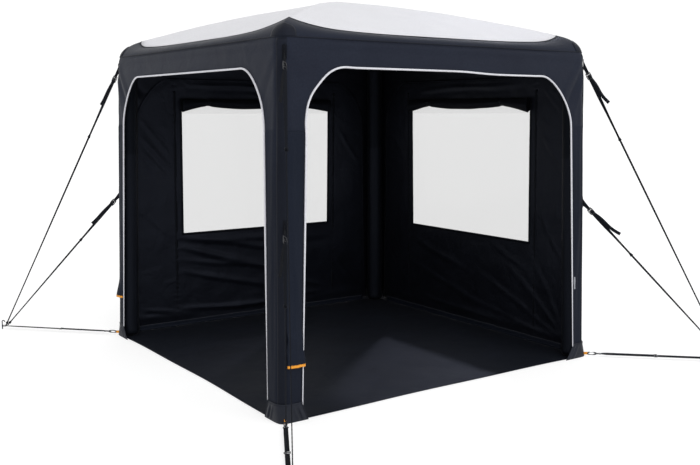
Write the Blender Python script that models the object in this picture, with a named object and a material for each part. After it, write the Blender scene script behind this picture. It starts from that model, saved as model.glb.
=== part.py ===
"""Inflatable camping pavilion, pitched on level ground. Metres, +Z up.

Origin: centre of the footprint on the ground. The front is -Y and the left side is -X: both are
open doorways. The back (+Y) and the right side (+X) are closed by wall panels with windows.
"""
import math

import bmesh
import bpy
from mathutils import Matrix, Vector

# Overall form
HALF = 1.200            # half the outer width at the ground
LEAN = 0.0195           # how far each side leans inward per metre of height
CORNER_R = 0.070        # radius of the outer corners, set by the air beams
CLOTH = 0.005           # thickness of the plain solids that stand for cloth
GAP = 0.0003            # clearance between touching pieces

# Heights
FOOT_TOP = 0.090
FOOT_SPREAD = 0.066     # how far a foot spreads into the doorway at the ground
LEG_TOP = 1.550         # cross seam between leg cover and skirt
EAVES = 2.030           # seam between the upright skirt and its sloping border
APEX = 2.385

# Doorway arch, the same on all four sides
ARCH_FOOT = 1.0693      # half width at the ground, if the feet did not spread
ARCH_LEAN = 0.0362
ARCH_SPRING = 1.570     # height where the arch corner starts
ARCH_FLAT = 0.755       # half length of the level top edge
ARCH_TOP = 1.884
ARCH_POWER = 1.5

# Roof surface
HIP_FALL = 0.135
HIP_CURVE = 0.104
ROOF_SAG = 0.045
ROOF_EDGE = 1.080       # distance from the middle to the light panel's lower edge
CAP_TIP = 1.015         # how far in the dark corner cap reaches along each side

# Air beams
BEAM_R = 0.0640
HUB_R = 0.090

# Walls
WINDOW_W = 0.659        # half width of a window
WINDOW_LOW = 0.721
WINDOW_HIGH = 1.649
WALL_LOW = 0.014
FILM = 0.003
BLIND_R = 0.026

# Ground gear: how far each peg stands from the middle along X and Y
PEGS = {"near": (1.63, 2.01), "right": (1.851, 1.851), "far": (1.63, 2.01), "left": (1.851, 1.851)}
SHEET = 0.006
GUY_HIGH = 1.952
GUY_MID = 1.051
LINE_R = 0.0025
WEB_W = 0.0125          # half width of the webbing
WEB_T = 0.0014

# Corner directions: near is front left, right is front right, left is back left, far is back right
CORNERS = {"near": (-1, -1), "right": (1, -1), "far": (1, 1), "left": (-1, 1)}
SIDES = {"front": 0, "right": 90, "back": 180, "left": 270}

for old in list(bpy.data.objects):
    bpy.data.objects.remove(old, do_unlink=True)

scene = bpy.context.scene
part = bpy.data.collections.new("camping_pavilion")
cutters = bpy.data.collections.new("cutters")
scene.collection.children.link(part)
scene.collection.children.link(cutters)


def material(name, rgb, rough, metal=0.0, alpha=1.0):
    mat = bpy.data.materials.new(name)
    mat.use_nodes = True
    shader = mat.node_tree.nodes["Principled BSDF"]
    shader.inputs["Base Color"].default_value = (*rgb, 1.0)
    shader.inputs["Roughness"].default_value = rough
    shader.inputs["Metallic"].default_value = metal
    shader.inputs["Alpha"].default_value = alpha
    mat.diffuse_color = (*rgb, 1.0)
    return mat


OUTER = material("outer_fabric", (0.030, 0.033, 0.050), 0.75)
INNER = material("inner_fabric", (0.008, 0.009, 0.013), 0.80)
ROOF = material("roof_fabric", (0.76, 0.76, 0.79), 0.65)
FLOOR = material("floor_sheet", (0.012, 0.013, 0.018), 0.55)
BEAM = material("beam_fabric", (0.010, 0.011, 0.015), 0.60)
FOOT = material("foot_fabric", (0.024, 0.024, 0.027), 0.85)
FILMS = material("window_film", (0.75, 0.76, 0.76), 0.15)
WEBBING = material("webbing", (0.008, 0.008, 0.009), 0.70)
STEEL = material("peg_steel", (0.45, 0.45, 0.46), 0.35, 1.0)
HUB = material("hub_plastic", (0.020, 0.020, 0.022), 0.50)


def add_object(name, mesh, mat, collection=part):
    obj = bpy.data.objects.new(name, mesh)
    collection.objects.link(obj)
    if mat is not None:
        mesh.materials.clear()
        mesh.materials.append(mat)
    return obj


def tidy(mesh):
    bm = bmesh.new()
    bm.from_mesh(mesh)
    bmesh.ops.remove_doubles(bm, verts=bm.verts, dist=1e-6)
    bmesh.ops.recalc_face_normals(bm, faces=bm.faces)
    bm.to_mesh(mesh)
    bm.free()


def loft(name, loops, mat, collection=part):
    """Closed solid through loops of equal length, capped at both ends."""
    count = len(loops[0])
    verts = [p for loop in loops for p in loop]
    faces = []
    for i in range(len(loops) - 1):
        for j in range(count):
            a = i * count + j
            b = i * count + (j + 1) % count
            faces.append((a, b, b + count, a + count))
    faces.append(tuple(reversed(range(count))))
    last = (len(loops) - 1) * count
    faces.append(tuple(last + j for j in range(count)))
    mesh = bpy.data.meshes.new(name)
    mesh.from_pydata(verts, [], faces)
    tidy(mesh)
    return add_object(name, mesh, mat, collection)


def skin(name, rows, backs, mat):
    """Closed sheet between a grid of outer points and a like grid of inner points."""
    wide = len(rows[0])
    tall = len(rows)
    verts = [p for row in rows for p in row] + [p for row in backs for p in row]
    shift = wide * tall
    faces = []
    for i in range(tall - 1):
        for j in range(wide - 1):
            a = i * wide + j
            quad = (a, a + 1, a + wide + 1, a + wide)
            faces.append(quad)
            faces.append(tuple(shift + v for v in reversed(quad)))
    rim = list(range(wide))
    rim += [i * wide + wide - 1 for i in range(1, tall)]
    rim += [(tall - 1) * wide + j for j in range(wide - 2, -1, -1)]
    rim += [i * wide for i in range(tall - 2, 0, -1)]
    for a, b in zip(rim, rim[1:] + rim[:1]):
        faces.append((b, a, a + shift, b + shift))
    mesh = bpy.data.meshes.new(name)
    mesh.from_pydata([tuple(p) for p in verts], [], faces)
    tidy(mesh)
    return add_object(name, mesh, mat)


def freeze(obj):
    """Replace an object's mesh by the result of its modifiers."""
    graph = bpy.context.evaluated_depsgraph_get()
    mesh = bpy.data.meshes.new_from_object(obj.evaluated_get(graph))
    obj.modifiers.clear()
    obj.data = mesh
    return obj


def cut(obj, cutter):
    cutter.hide_render = True
    cutter.display_type = "WIRE"
    boolean = obj.modifiers.new("opening", "BOOLEAN")
    boolean.operation = "DIFFERENCE"
    boolean.solver = "EXACT"
    boolean.object = cutter
    return freeze(obj)


def turn(points, degrees):
    """Turn points about the vertical axis, from the front side to another side."""
    spin = Matrix.Rotation(math.radians(degrees), 3, "Z")
    return [tuple(spin @ Vector(p)) for p in points]


def face_at(z):
    """Distance of an outer face from the middle at height z."""
    return HALF - LEAN * z


def arch_outline():
    """Half width of the doorway against height, from the ground to the level top edge."""
    points = [(0.0, ARCH_FOOT - FOOT_SPREAD), (FOOT_TOP, ARCH_FOOT - ARCH_LEAN * FOOT_TOP)]
    spring = ARCH_FOOT - ARCH_LEAN * ARCH_SPRING
    for share in (0.0, 0.18, 0.34, 0.50, 0.65, 0.78, 0.88, 0.95, 1.0):
        bend = (1.0 - share ** ARCH_POWER) ** (1.0 / ARCH_POWER)
        height = ARCH_SPRING + (ARCH_TOP - ARCH_SPRING) * share
        points.append((height, ARCH_FLAT + (spring - ARCH_FLAT) * bend))
    return points


ARCH = arch_outline()


def arch_half(z):
    """Half width of the doorway at height z."""
    for (z0, half0), (z1, half1) in zip(ARCH, ARCH[1:]):
        if z <= z1:
            return half0 + (half1 - half0) * (z - z0) / (z1 - z0)
    return ARCH[-1][1]


def inside_arch(low, high):
    """Outline points of a wall piece that fills the arch between two heights, a hair clear of it."""
    heights = [low] + [z for z, half in ARCH if low < z < high - 1e-6] + [high]
    return [(arch_half(z) - 3 * GAP, z) for z in heights]


def hip_height(t):
    """Height of the roof over the diagonal, t along each side from the middle."""
    return APEX - HIP_FALL * t - HIP_CURVE * t * t


def roof_height(x, y):
    """Height of the roof over a point: hips bow up, each panel sags between them."""
    t = max(abs(x), abs(y), 1e-6)
    share = min(abs(x), abs(y)) / t
    return hip_height(t) - ROOF_SAG * (t / ROOF_EDGE) ** 2 * (1.0 - share ** 4)


def edge_point(x):
    """Point on the light panel's lower edge, on the front side."""
    bow = max(0.0, (abs(x) - 0.750) / (CAP_TIP - 0.750))
    y = -(ROOF_EDGE - (ROOF_EDGE - CAP_TIP) * bow ** 2)
    return Vector((x, y, roof_height(x, y)))


def side_path(z, grow=0.0):
    """Plan points of the front face from one diagonal to the other, round both corners."""
    a = face_at(z) + grow
    c = a - CORNER_R
    left = []
    for k in range(5):
        angle = math.radians(225 + 45 * k / 4)
        left.append((-c + CORNER_R * math.cos(angle), -c + CORNER_R * math.sin(angle)))
    middle = [(x, -a) for x in (-0.95, -0.80, -0.55, -0.28, 0.0)]
    half = left + middle
    return half + [(-x, y) for x, y in reversed(half[:-1])]


def corner_loop(z, arm_end, thick, grow=0.0):
    """L-shaped plan of a leg cover at the near corner: outer line out, inner line back."""
    a = face_at(z) + grow
    c = a - CORNER_R
    arc = [math.radians(270 - 90 * k / 6) for k in range(7)]
    outer = [(c_x(c, CORNER_R, t), c_y(c, CORNER_R, t), z) for t in arc]
    inner = [(c_x(c, CORNER_R - thick, t), c_y(c, CORNER_R - thick, t), z) for t in arc]
    loop = [(-arm_end, -a, z)] + outer + [(-a, -arm_end, z), (-a + thick, -arm_end, z)]
    return loop + list(reversed(inner)) + [(-arm_end, -a + thick, z)]


def c_x(centre, radius, angle):
    return -centre + radius * math.cos(angle)


def c_y(centre, radius, angle):
    return -centre + radius * math.sin(angle)


# Groundsheet: one flat sheet, its corners cut back along the inner edges of the feet
reach = HALF - 0.018
foot_arm = ARCH_FOOT - FOOT_SPREAD
notch = ARCH_FOOT - 0.0005
share = (HALF + 0.006 - reach) / (HALF + 0.006 - ARCH_FOOT - GAP)
arm = foot_arm + share * FOOT_SPREAD - 0.0005
plan = []
for sx, sy in ((-1, -1), (1, -1), (1, 1), (-1, 1)):
    corner = [(sx * reach, sy * arm), (sx * notch, sy * notch), (sx * arm, sy * reach)]
    plan += corner if sx * sy > 0 else list(reversed(corner))
loft("groundsheet", [[(x, y, 0.0) for x, y in plan], [(x, y, SHEET) for x, y in plan]], FLOOR)

# Feet: dark reinforced ends of the legs, spread along both faces at the ground
for name, (sx, sy) in CORNERS.items():
    loops = []
    for z, grow in ((0.0, 0.006), (0.030, 0.006), (0.070, 0.003), (FOOT_TOP, 0.001)):
        a = face_at(z) + grow
        c = a - CORNER_R
        arm = arch_half(z) + GAP
        inner = ARCH_FOOT - ARCH_LEAN * z + GAP
        ring = [(-a, -arm), (-inner, -inner), (-arm, -a)]
        for k in range(7):
            angle = math.radians(270 - 90 * k / 6)
            ring.append((c_x(c, CORNER_R, angle), c_y(c, CORNER_R, angle)))
        loops.append([(-sx * x, -sy * y, z) for x, y in ring])
    loft("foot_" + name, loops, FOOT)

# Leg covers: the outer cloth of each corner leg, from the foot to the cross seam
for name, (sx, sy) in CORNERS.items():
    loops = []
    for z in (FOOT_TOP + GAP, LEG_TOP - GAP):
        loop = corner_loop(z, arch_half(z) + GAP, CLOTH)
        loops.append([(-sx * x, -sy * y, zz) for x, y, zz in loop])
    loft("leg_cover_" + name, loops, OUTER)

# Air beams: each runs up its leg, bends at the eaves and follows the hip to the hub
for name, (sx, sy) in CORNERS.items():
    spot = face_at(0.14) - CORNER_R
    points = [(sx * spot, sy * spot, FOOT_TOP + GAP)]
    for z in (0.14, 0.60, 1.20, 1.70, 1.84):
        d = face_at(z) - CORNER_R
        points.append((sx * d, sy * d, z))
    sink = 1.1 * CLOTH + GAP + BEAM_R * 1.15
    for d, drop in ((1.074, 0.028), (1.035, 0.006), (0.975, 0.0), (0.80, 0.0), (0.55, 0.0), (0.30, 0.0)):
        points.append((sx * d, sy * d, hip_height(d) - sink - drop))
    end = (HUB_R + GAP) / math.sqrt(2)
    crown = hip_height(0.15) - sink - 0.004
    points.append((sx * 0.15, sy * 0.15, crown))
    points.append((sx * end, sy * end, crown))
    curve = bpy.data.curves.new("air_beam_" + name, "CURVE")
    curve.dimensions = "3D"
    curve.bevel_depth = BEAM_R
    curve.bevel_resolution = 3
    curve.use_fill_caps = True
    spline = curve.splines.new("POLY")
    spline.points.add(len(points) - 1)
    for k, p in enumerate(points):
        spline.points[k].co = (*p, 1.0)
    holder = bpy.data.objects.new("beam_curve", curve)
    cutters.objects.link(holder)
    bpy.context.view_layer.update()
    graph = bpy.context.evaluated_depsgraph_get()
    mesh = bpy.data.meshes.new_from_object(holder.evaluated_get(graph))
    bpy.data.objects.remove(holder, do_unlink=True)
    tidy(mesh)
    add_object("air_beam_" + name, mesh, BEAM)

# Crown hub: eight-sided boss that the four beams run into
hub_low = crown - BEAM_R - 0.012
hub_high = roof_height(0.0, HUB_R * 1.09) - CLOTH - GAP - 0.001
loops = []
for z in (hub_low, hub_high):
    ring = []
    for k in range(8):
        angle = math.radians(22.5 + 45 * k)
        across = HUB_R / math.cos(math.radians(22.5))
        ring.append((across * math.cos(angle), across * math.sin(angle), z))
    loops.append(ring)
loft("crown_hub", loops, HUB)

def inward(rows, thickness, upright, level):
    """Grid moved in by a thickness along its normals, kept in the diagonal planes at both ends.

    The offset is made level in the rows named upright, and straight down in those named level.
    """
    moved = []
    wide = len(rows[0])
    for i, row in enumerate(rows):
        line = []
        for j, p in enumerate(row):
            along = row[min(j + 1, wide - 1)] - row[max(j - 1, 0)]
            up = rows[min(i + 1, len(rows) - 1)][j] - rows[max(i - 1, 0)][j]
            normal = along.cross(up).normalized()
            if i in upright:
                normal = Vector((normal.x, normal.y, 0)).normalized()
            if i in level:
                normal = Vector((0, 0, 1))
            elif j in (0, wide - 1):
                plane = Vector((1, 1 if j == 0 else -1, 0)).normalized()
                flat = normal.dot(plane)
                normal = (plane * flat + Vector((0, 0, normal.z))).normalized()
            line.append(p - normal * thickness)
        moved.append(line)
    return moved


# Skirts: upright fascia with the doorway arch cut in it. Borders: the dark sloping edge of the roof
for side, degrees in SIDES.items():
    fascia = []
    for z in (LEG_TOP, 1.75, 1.92):
        fascia.append([Vector((x, y, z)) for x, y in side_path(z)])
    seam = [Vector((x, y, EAVES)) for x, y in side_path(EAVES, -0.008)]
    fascia.append([p - Vector((0, 0, GAP)) for p in seam])
    rows = [[p.copy() for p in seam]]
    edge = [edge_point(p.x * CAP_TIP / abs(seam[0].x)) for p in seam]
    for t in (0.22, 0.48, 0.76, 1.0):
        row = []
        for p, q in zip(seam, edge):
            knee = Vector((p.x + 0.12 * (q.x - p.x), p.y + 0.12 * (q.y - p.y), p.z + 0.74 * (q.z - p.z)))
            row.append(p * (1 - t) ** 2 + knee * 2 * t * (1 - t) + q * t * t)
        rows.append(row)
    for row in fascia + rows:
        for p in row:
            p.x *= 1.0 - GAP / 1.1
    skirt = skin("skirt_" + side, fascia, inward(fascia, CLOTH, range(len(fascia)), ()), OUTER)
    border = skin("border_" + side, rows, inward(rows, CLOTH, (0,), (len(rows) - 1,)), OUTER)
    profile = []
    for z in [LEG_TOP - 0.05] + [height for height, half in ARCH[1:]]:
        profile.append((arch_half(z), z))
    ring = [(-x, z) for x, z in profile] + [(x, z) for x, z in reversed(profile)]
    door = loft("arch_cutter_" + side, [[(x, -1.35, z) for x, z in ring],
                                        [(x, -1.05, z) for x, z in ring]], None, cutters)
    cut(skirt, door)
    for piece in (skirt, border):
        piece.data.transform(Matrix.Rotation(math.radians(degrees), 4, "Z"))

# Roof panels: one light triangle a side, from the border's edge to the crown
for side, degrees in SIDES.items():
    rows = []
    plan = side_path(EAVES, -0.008)
    low = [edge_point(x * CAP_TIP / abs(plan[0][0])) for x, y in plan]
    for step in (1.0, 0.97, 0.90, 0.75, 0.55, 0.35, 0.15, 0.01):
        row = []
        for p in low:
            x = p.x * step
            y = p.y * step
            row.append((x * (abs(y) - 2 * GAP) / abs(y), y + GAP, roof_height(x, y)))
        rows.append(row)
    below = [[(x, y, z - CLOTH) for x, y, z in row] for row in rows]
    panel = skin("roof_panel_" + side, rows, below, ROOF)
    panel.data.transform(Matrix.Rotation(math.radians(degrees), 4, "Z"))

# Wall panels: they zip into the arch on the back and the right side
for side in ("back", "right"):
    degrees = SIDES[side]

    def slab(name, outline, outer, thick, mat):
        """Upright slab from an (x, z) outline that follows the leaning face."""
        front = turn([(x, -face_at(z) + outer, z) for x, z in outline], degrees)
        rear = turn([(x, -face_at(z) + outer + thick, z) for x, z in outline], degrees)
        return loft(side + "_wall_" + name, [front, rear], mat)

    w = WINDOW_W
    low = [(-w + GAP, WALL_LOW), (w - GAP, WALL_LOW), (w - GAP, WINDOW_LOW), (-w + GAP, WINDOW_LOW)]
    slab("lower", low, 0.0, CLOTH, INNER)
    strip = [(w, WALL_LOW)] + inside_arch(WALL_LOW, WINDOW_HIGH) + [(w, WINDOW_HIGH)]
    slab("strip_a", strip, 0.0, CLOTH, INNER)
    slab("strip_b", [(-x, z) for x, z in strip], 0.0, CLOTH, INNER)
    head = inside_arch(WINDOW_HIGH + GAP, ARCH_TOP - 3 * GAP)
    slab("header", head + [(-x, z) for x, z in reversed(head)], 0.0, CLOTH, INNER)
    slab("window", [(-w + GAP, WINDOW_LOW + GAP), (w - GAP, WINDOW_LOW + GAP), (w - GAP, WINDOW_HIGH - GAP),
                    (-w + GAP, WINDOW_HIGH - GAP)], 0.001, FILM, FILMS)
    roll_z = WINDOW_HIGH + 0.030
    y = -face_at(roll_z) + CLOTH + GAP + BLIND_R + 0.0005
    loops = []
    for x in (-w, w):
        ring = []
        for k in range(12):
            angle = math.radians(30 * k)
            ring.append((x, y + BLIND_R * math.cos(angle), roll_z + BLIND_R * math.sin(angle)))
        loops.append(turn(ring, degrees))
    loft(side + "_wall_blind", loops, INNER)


def strap(name, start, finish, sections, mat):
    """Straight run of webbing or line: sections give distance, half width and half thickness."""
    start = Vector(start)
    run = Vector(finish) - start
    length = run.length
    run.normalize()
    side = run.cross(Vector((0, 0, 1)))
    side.normalize()
    up = side.cross(run)
    loops = []
    for along, wide, thick in sections:
        at = start + run * (along if along >= 0 else length + along)
        ring = []
        for k in range(8):
            angle = math.radians(22.5 + 45 * k)
            ring.append(tuple(at + side * wide * math.cos(angle) * 1.08 + up * thick * math.sin(angle) * 1.08))
        loops.append(ring)
    return loft(name, loops, mat)


# Pegs, and the guys and ground straps that run to their rings
for name, (sx, sy) in CORNERS.items():
    place = Vector((sx * PEGS[name][0], sy * PEGS[name][1], 0))
    out = (place - Vector((sx, sy, 0)) * (face_at(1.0) - CORNER_R)).normalized()
    across = Vector((-out.y, out.x, 0))
    centre = place + Vector((0, 0, 0.026))
    ring_r = 0.018
    wire = 0.0028

    bm = bmesh.new()
    for k in range(20):
        spin = 2 * math.pi * k / 20
        for m in range(8):
            tilt = 2 * math.pi * m / 8
            flat = ring_r + wire * math.cos(tilt)
            spot = centre + out * flat * math.cos(spin) + across * flat * math.sin(spin)
            bm.verts.new(spot + Vector((0, 0, wire * math.sin(tilt))))
    bm.verts.ensure_lookup_table()
    for k in range(20):
        for m in range(8):
            a = k * 8 + m
            b = k * 8 + (m + 1) % 8
            c = ((k + 1) % 20) * 8 + (m + 1) % 8
            d = ((k + 1) % 20) * 8 + m
            bm.faces.new([bm.verts[i] for i in (a, b, c, d)])
    bmesh.ops.recalc_face_normals(bm, faces=bm.faces)
    ring_mesh = bpy.data.meshes.new("ring")
    bm.to_mesh(ring_mesh)
    bm.free()
    ring = add_object("ring_" + name, ring_mesh, None, cutters)

    foot = place + out * ring_r
    path = [foot + Vector((0, 0, 0.0)), foot + Vector((0, 0, 0.046)), foot + out * 0.003 + Vector((0, 0, 0.056)),
            foot - out * 0.002 + Vector((0, 0, 0.064)), foot - out * 0.013 + Vector((0, 0, 0.066)),
            foot - out * 0.022 + Vector((0, 0, 0.060))]
    loops = []
    for k, p in enumerate(path):
        ahead = path[min(k + 1, len(path) - 1)] - path[max(k - 1, 0)]
        if k == 0:
            ahead = Vector((0, 0, 1))
        ahead.normalize()
        lift = across.cross(ahead)
        lift.normalize()
        loops.append([tuple(p + across * 0.004 * math.cos(t) + lift * 0.004 * math.sin(t))
                      for t in [2 * math.pi * m / 10 for m in range(10)]])
    peg = loft("peg_" + name, loops, STEEL)
    join = peg.modifiers.new("ring", "BOOLEAN")
    join.operation = "UNION"
    join.solver = "EXACT"
    join.object = ring
    ring.hide_render = True
    ring.display_type = "WIRE"
    freeze(peg)
    tidy(peg.data)
    peg.data.materials.clear()
    peg.data.materials.append(STEEL)

    def hook_point(degrees, slope):
        """Where a line of the given slope ends, just outside the ring on the pavilion's side."""
        turned = math.radians(degrees)
        steep = math.radians(slope)
        clear = ring_r + wire + GAP + LINE_R * math.sin(steep) * math.cos(turned)
        lift = LINE_R * math.cos(steep) if slope else 0.0
        return centre - out * clear * math.cos(turned) + across * clear * math.sin(turned) + Vector((0, 0, lift))

    def corner_point(z, lift, grow=0.0):
        """Point on the rounded corner that faces the peg, at height z."""
        bend = face_at(z) + grow - CORNER_R
        return Vector((sx * bend, sy * bend, z)) + out * (CORNER_R + lift)

    web = [(0.0, WEB_W, WEB_T), (0.060, WEB_W, WEB_T), (0.064, 0.016, 0.004), (0.100, 0.016, 0.004),
           (0.104, LINE_R, LINE_R), (-0.0001, LINE_R, LINE_R)]
    strap("guy_upper_" + name, corner_point(GUY_HIGH, GAP + WEB_T), hook_point(38, 62.8), web, WEBBING)
    strap("guy_mid_" + name, corner_point(GUY_MID, GAP + WEB_T * 0.9), hook_point(-38, 47.0), web, WEBBING)
    low = corner_point(0.020, GAP, 0.006)
    flat = [(0.0, WEB_W, WEB_T), (0.10, WEB_W, WEB_T), (0.13, LINE_R, WEB_T), (-0.0001, LINE_R, WEB_T)]
    strap("ground_strap_" + name, low, hook_point(0, 0), flat, WEBBING)

for obj in part.objects:
    for polygon in obj.data.polygons:
        polygon.use_smooth = False
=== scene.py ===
import math

import bmesh
import bpy
from mathutils import Matrix, Vector, kdtree, noise


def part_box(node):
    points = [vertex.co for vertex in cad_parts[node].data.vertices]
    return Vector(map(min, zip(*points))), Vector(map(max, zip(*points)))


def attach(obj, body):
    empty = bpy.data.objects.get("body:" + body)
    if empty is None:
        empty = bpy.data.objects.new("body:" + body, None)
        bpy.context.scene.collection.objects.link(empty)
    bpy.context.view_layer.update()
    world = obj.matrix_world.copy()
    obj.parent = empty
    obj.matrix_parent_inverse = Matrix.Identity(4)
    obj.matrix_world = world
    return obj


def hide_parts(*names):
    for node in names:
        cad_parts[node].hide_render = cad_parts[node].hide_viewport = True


# Inflatable camping pavilion, pitched on level ground. Metres, +Z up, origin at the middle of the
# footprint. The front (-Y) and left (-X) sides are open doorways. The back (+Y) and right (+X)
# sides hold zipped-in walls. A side is made at the front and turned to its place.

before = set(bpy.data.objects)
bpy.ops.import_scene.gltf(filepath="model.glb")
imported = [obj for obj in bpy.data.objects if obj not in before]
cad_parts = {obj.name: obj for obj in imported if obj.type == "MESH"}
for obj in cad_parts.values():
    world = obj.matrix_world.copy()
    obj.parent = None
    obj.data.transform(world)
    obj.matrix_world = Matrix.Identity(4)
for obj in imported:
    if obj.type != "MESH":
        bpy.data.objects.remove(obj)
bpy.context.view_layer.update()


# CAMERA
# Stands off the near corner a little above the doorway's middle, looks slightly down, and takes in
# the whole pavilion. The image is 700 x 465.
CAMERA_AT = (-3.522, -5.193, 1.650)
CAMERA_YAW = 34.74      # degrees, to the right of straight ahead
CAMERA_DOWN = 7.65
CAMERA_LENS = 46.40     # mm, on a sensor 36 mm wide

camera = bpy.data.objects.new("camera", bpy.data.cameras.new("camera"))
camera.data.sensor_width = 36.0
camera.data.lens = CAMERA_LENS
camera.location = CAMERA_AT
camera.rotation_euler = (math.radians(90 - CAMERA_DOWN), 0, math.radians(-CAMERA_YAW))
bpy.context.scene.collection.objects.link(camera)
bpy.context.scene.camera = camera


# FLOOR AND STUDIO LIGHT
# A matt white paper floor, lit from below like a light table, and a white room that dims overhead.
# One broad soft lamp stands high in front, so the front of the roof is its lightest part.
# A second one shines from behind through the right window and lays a pale field on the floor inside.
FLOOR_HALF = 600
FLOOR_DROP = 0.0005     # the floor lies this far below the ground, clear of what stands on it
FLOOR_GLOW = 0.64
ROOM_LEVEL, ROOM_OVERHEAD = 1.06, 0.88
SKYLINE = (0.16, 0.75)  # the room dims between these heights of a look upwards (0 level, 1 straight up)
WINDOW_AIM = (1.18, 0.0, 1.12)


def linear(colour):
    """Linear RGBA of an sRGB hex colour."""
    values = [int(colour[i:i + 2], 16) / 255 for i in (1, 3, 5)]
    return tuple(v / 12.92 if v <= 0.04045 else ((v + 0.055) / 1.055) ** 2.4 for v in values) + (1.0,)


def add(tree, kind, sockets=None, **properties):
    """Add a node. A socket takes a plain value or the output of another node."""
    made = tree.nodes.new(kind)
    for name, value in properties.items():
        setattr(made, name, value)
    for key, value in (sockets or {}).items():
        if isinstance(value, bpy.types.NodeSocket):
            tree.links.new(value, made.inputs[key])
        else:
            made.inputs[key].default_value = value
    return made


def new_material(name):
    """Empty node material, and its tree."""
    mat = bpy.data.materials.new(name)
    mat.use_nodes = True
    mat.node_tree.nodes.clear()
    return mat, mat.node_tree


def finish_material(mat, tree, sockets):
    """Close a material with its surface shader and the output."""
    shader = add(tree, "ShaderNodeBsdfPrincipled", sockets)
    add(tree, "ShaderNodeOutputMaterial", {"Surface": shader.outputs[0]})
    return mat


def lit_white_paper():
    mat, tree = new_material("matt_white_paper")
    where = add(tree, "ShaderNodeTexCoord").outputs["Object"]
    grain = add(tree, "ShaderNodeTexNoise", {"Vector": where, "Scale": 60.0, "Detail": 3.0})
    bump = add(tree, "ShaderNodeBump", {"Height": grain.outputs["Fac"], "Strength": 0.05, "Distance": 0.001})
    return finish_material(mat, tree, {"Base Color": linear("#A8A8A8"), "Roughness": 0.95,
                                       "Normal": bump.outputs[0], "Emission Color": (1, 1, 1, 1),
                                       "Emission Strength": FLOOR_GLOW})


floor_mesh = bpy.data.meshes.new("studio_floor")
floor_mesh.from_pydata([(FLOOR_HALF * x, FLOOR_HALF * y, 0) for x, y in ((-1, -1), (1, -1), (1, 1), (-1, 1))],
                       [], [(0, 1, 2, 3)])
floor = bpy.data.objects.new("studio_floor", floor_mesh)
floor.location.z = -FLOOR_DROP
floor_mesh.materials.append(lit_white_paper())
bpy.context.scene.collection.objects.link(floor)

world = bpy.data.worlds.new("white_room")
world.use_nodes = True
sky = world.node_tree
aim = add(sky, "ShaderNodeTexCoord").outputs["Generated"]
height = add(sky, "ShaderNodeSeparateXYZ", {0: aim}).outputs["Z"]
dim = add(sky, "ShaderNodeMapRange", {"Value": height, "From Min": SKYLINE[0], "From Max": SKYLINE[1],
                                      "To Min": ROOM_LEVEL, "To Max": ROOM_OVERHEAD},
          interpolation_type="SMOOTHSTEP")
sky.links.new(dim.outputs[0], sky.nodes["Background"].inputs["Strength"])
sky.nodes["Background"].inputs["Color"].default_value = (1, 1, 1, 1)
bpy.context.scene.world = world


def hang_lamp(name, kind, tilt, turn, aim=(0, 0, 0), away=0.0, **settings):
    """Add a lamp that shines at a point from some way off, tilted and turned by degrees."""
    lamp = bpy.data.objects.new(name, bpy.data.lights.new(name, kind))
    for key, value in settings.items():
        setattr(lamp.data, key, value)
    lamp.rotation_euler = (math.radians(tilt), 0, math.radians(turn))
    lamp.location = Vector(aim) + lamp.rotation_euler.to_matrix() @ Vector((0, 0, away))
    bpy.context.scene.collection.objects.link(lamp)


hang_lamp("front_lamp", "SUN", 50, 6, energy=1.32, angle=math.radians(60))
hang_lamp("window_lamp", "SPOT", 55.3, 129.5, WINDOW_AIM, 30, energy=18000, color=(0.74, 0.78, 1.0),
          spot_size=math.radians(3.5), spot_blend=0.25, shadow_soft_size=1.3)
bpy.context.scene.view_settings.view_transform = "Standard"
bpy.context.scene.view_settings.look = "None"


# GROUNDSHEET
# One sheet of coated polyester oxford, laid flat, with rounded corners tucked under the boots. Its
# edge is turned up about 3 cm as a lip along the two walls, bound with tape. It lies in faint ripples.
SHEET_FRONT = 1.176     # how far the sheet reaches at the middle of a doorway
SHEET_WALL = 1.190
SHEET_CELLS = 96
SHEET_THICK = 0.0011
SHEET_LIE = 0.0045      # height of the sheet above the ground, over its ripples
LIP = 0.034
LIP_HALF = 1.040
LIP_STEPS = ((-0.016, 0.0), (-0.008, 0.0), (-0.003, 0.04), (0.0, 0.18), (0.0, 0.45), (0.0, 0.72), (0.0, 1.0))
TUCK = 1.122            # the sheet's corners are rounded from here, to a radius of TUCK_R
TUCK_R = 0.068
PITCH = 0.0032          # drawn thread spacing; the real thread is about 0.5 mm, too fine to show


def smooth(low, high, value):
    """0 below low, 1 above high, and an even curve between."""
    share = min(1.0, max(0.0, (value - low) / (high - low)))
    return share * share * (3 - 2 * share)


def even(low, high, count):
    """Values from low to high in so many even steps, with both ends."""
    return [low + (high - low) * k / count for k in range(count + 1)]


def quarter(side):
    """Turn from the front to a side: 0 front, 1 right, 2 back, 3 left."""
    return Matrix.Rotation(math.radians(90 * side), 3, "Z")


def new_skin():
    """An empty mesh in the making: its points, its faces, and one list of UVs a face, in metres."""
    return [], [], []


def mesh_piece(name, skin, *mats, weld=0.0):
    """New object from a mesh in the making, with points nearer than weld joined."""
    points, faces, corners = skin
    mesh = bpy.data.meshes.new(name)
    mesh.from_pydata([tuple(p) for p in points], [], faces)
    layer = mesh.uv_layers.new(name="cloth")
    for polygon, uvs in zip(mesh.polygons, corners):
        for loop, uv in zip(polygon.loop_indices, uvs):
            layer.data[loop].uv = uv
    for mat in mats:
        mesh.materials.append(mat)
    bm = bmesh.new()
    bm.from_mesh(mesh)
    if weld:
        bmesh.ops.remove_doubles(bm, verts=bm.verts, dist=weld)
        bmesh.ops.dissolve_degenerate(bm, edges=bm.edges, dist=1e-6)
    obj = bpy.data.objects.new(name, mesh)
    bpy.context.scene.collection.objects.link(obj)
    return settle_mesh(obj, bm)


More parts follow.
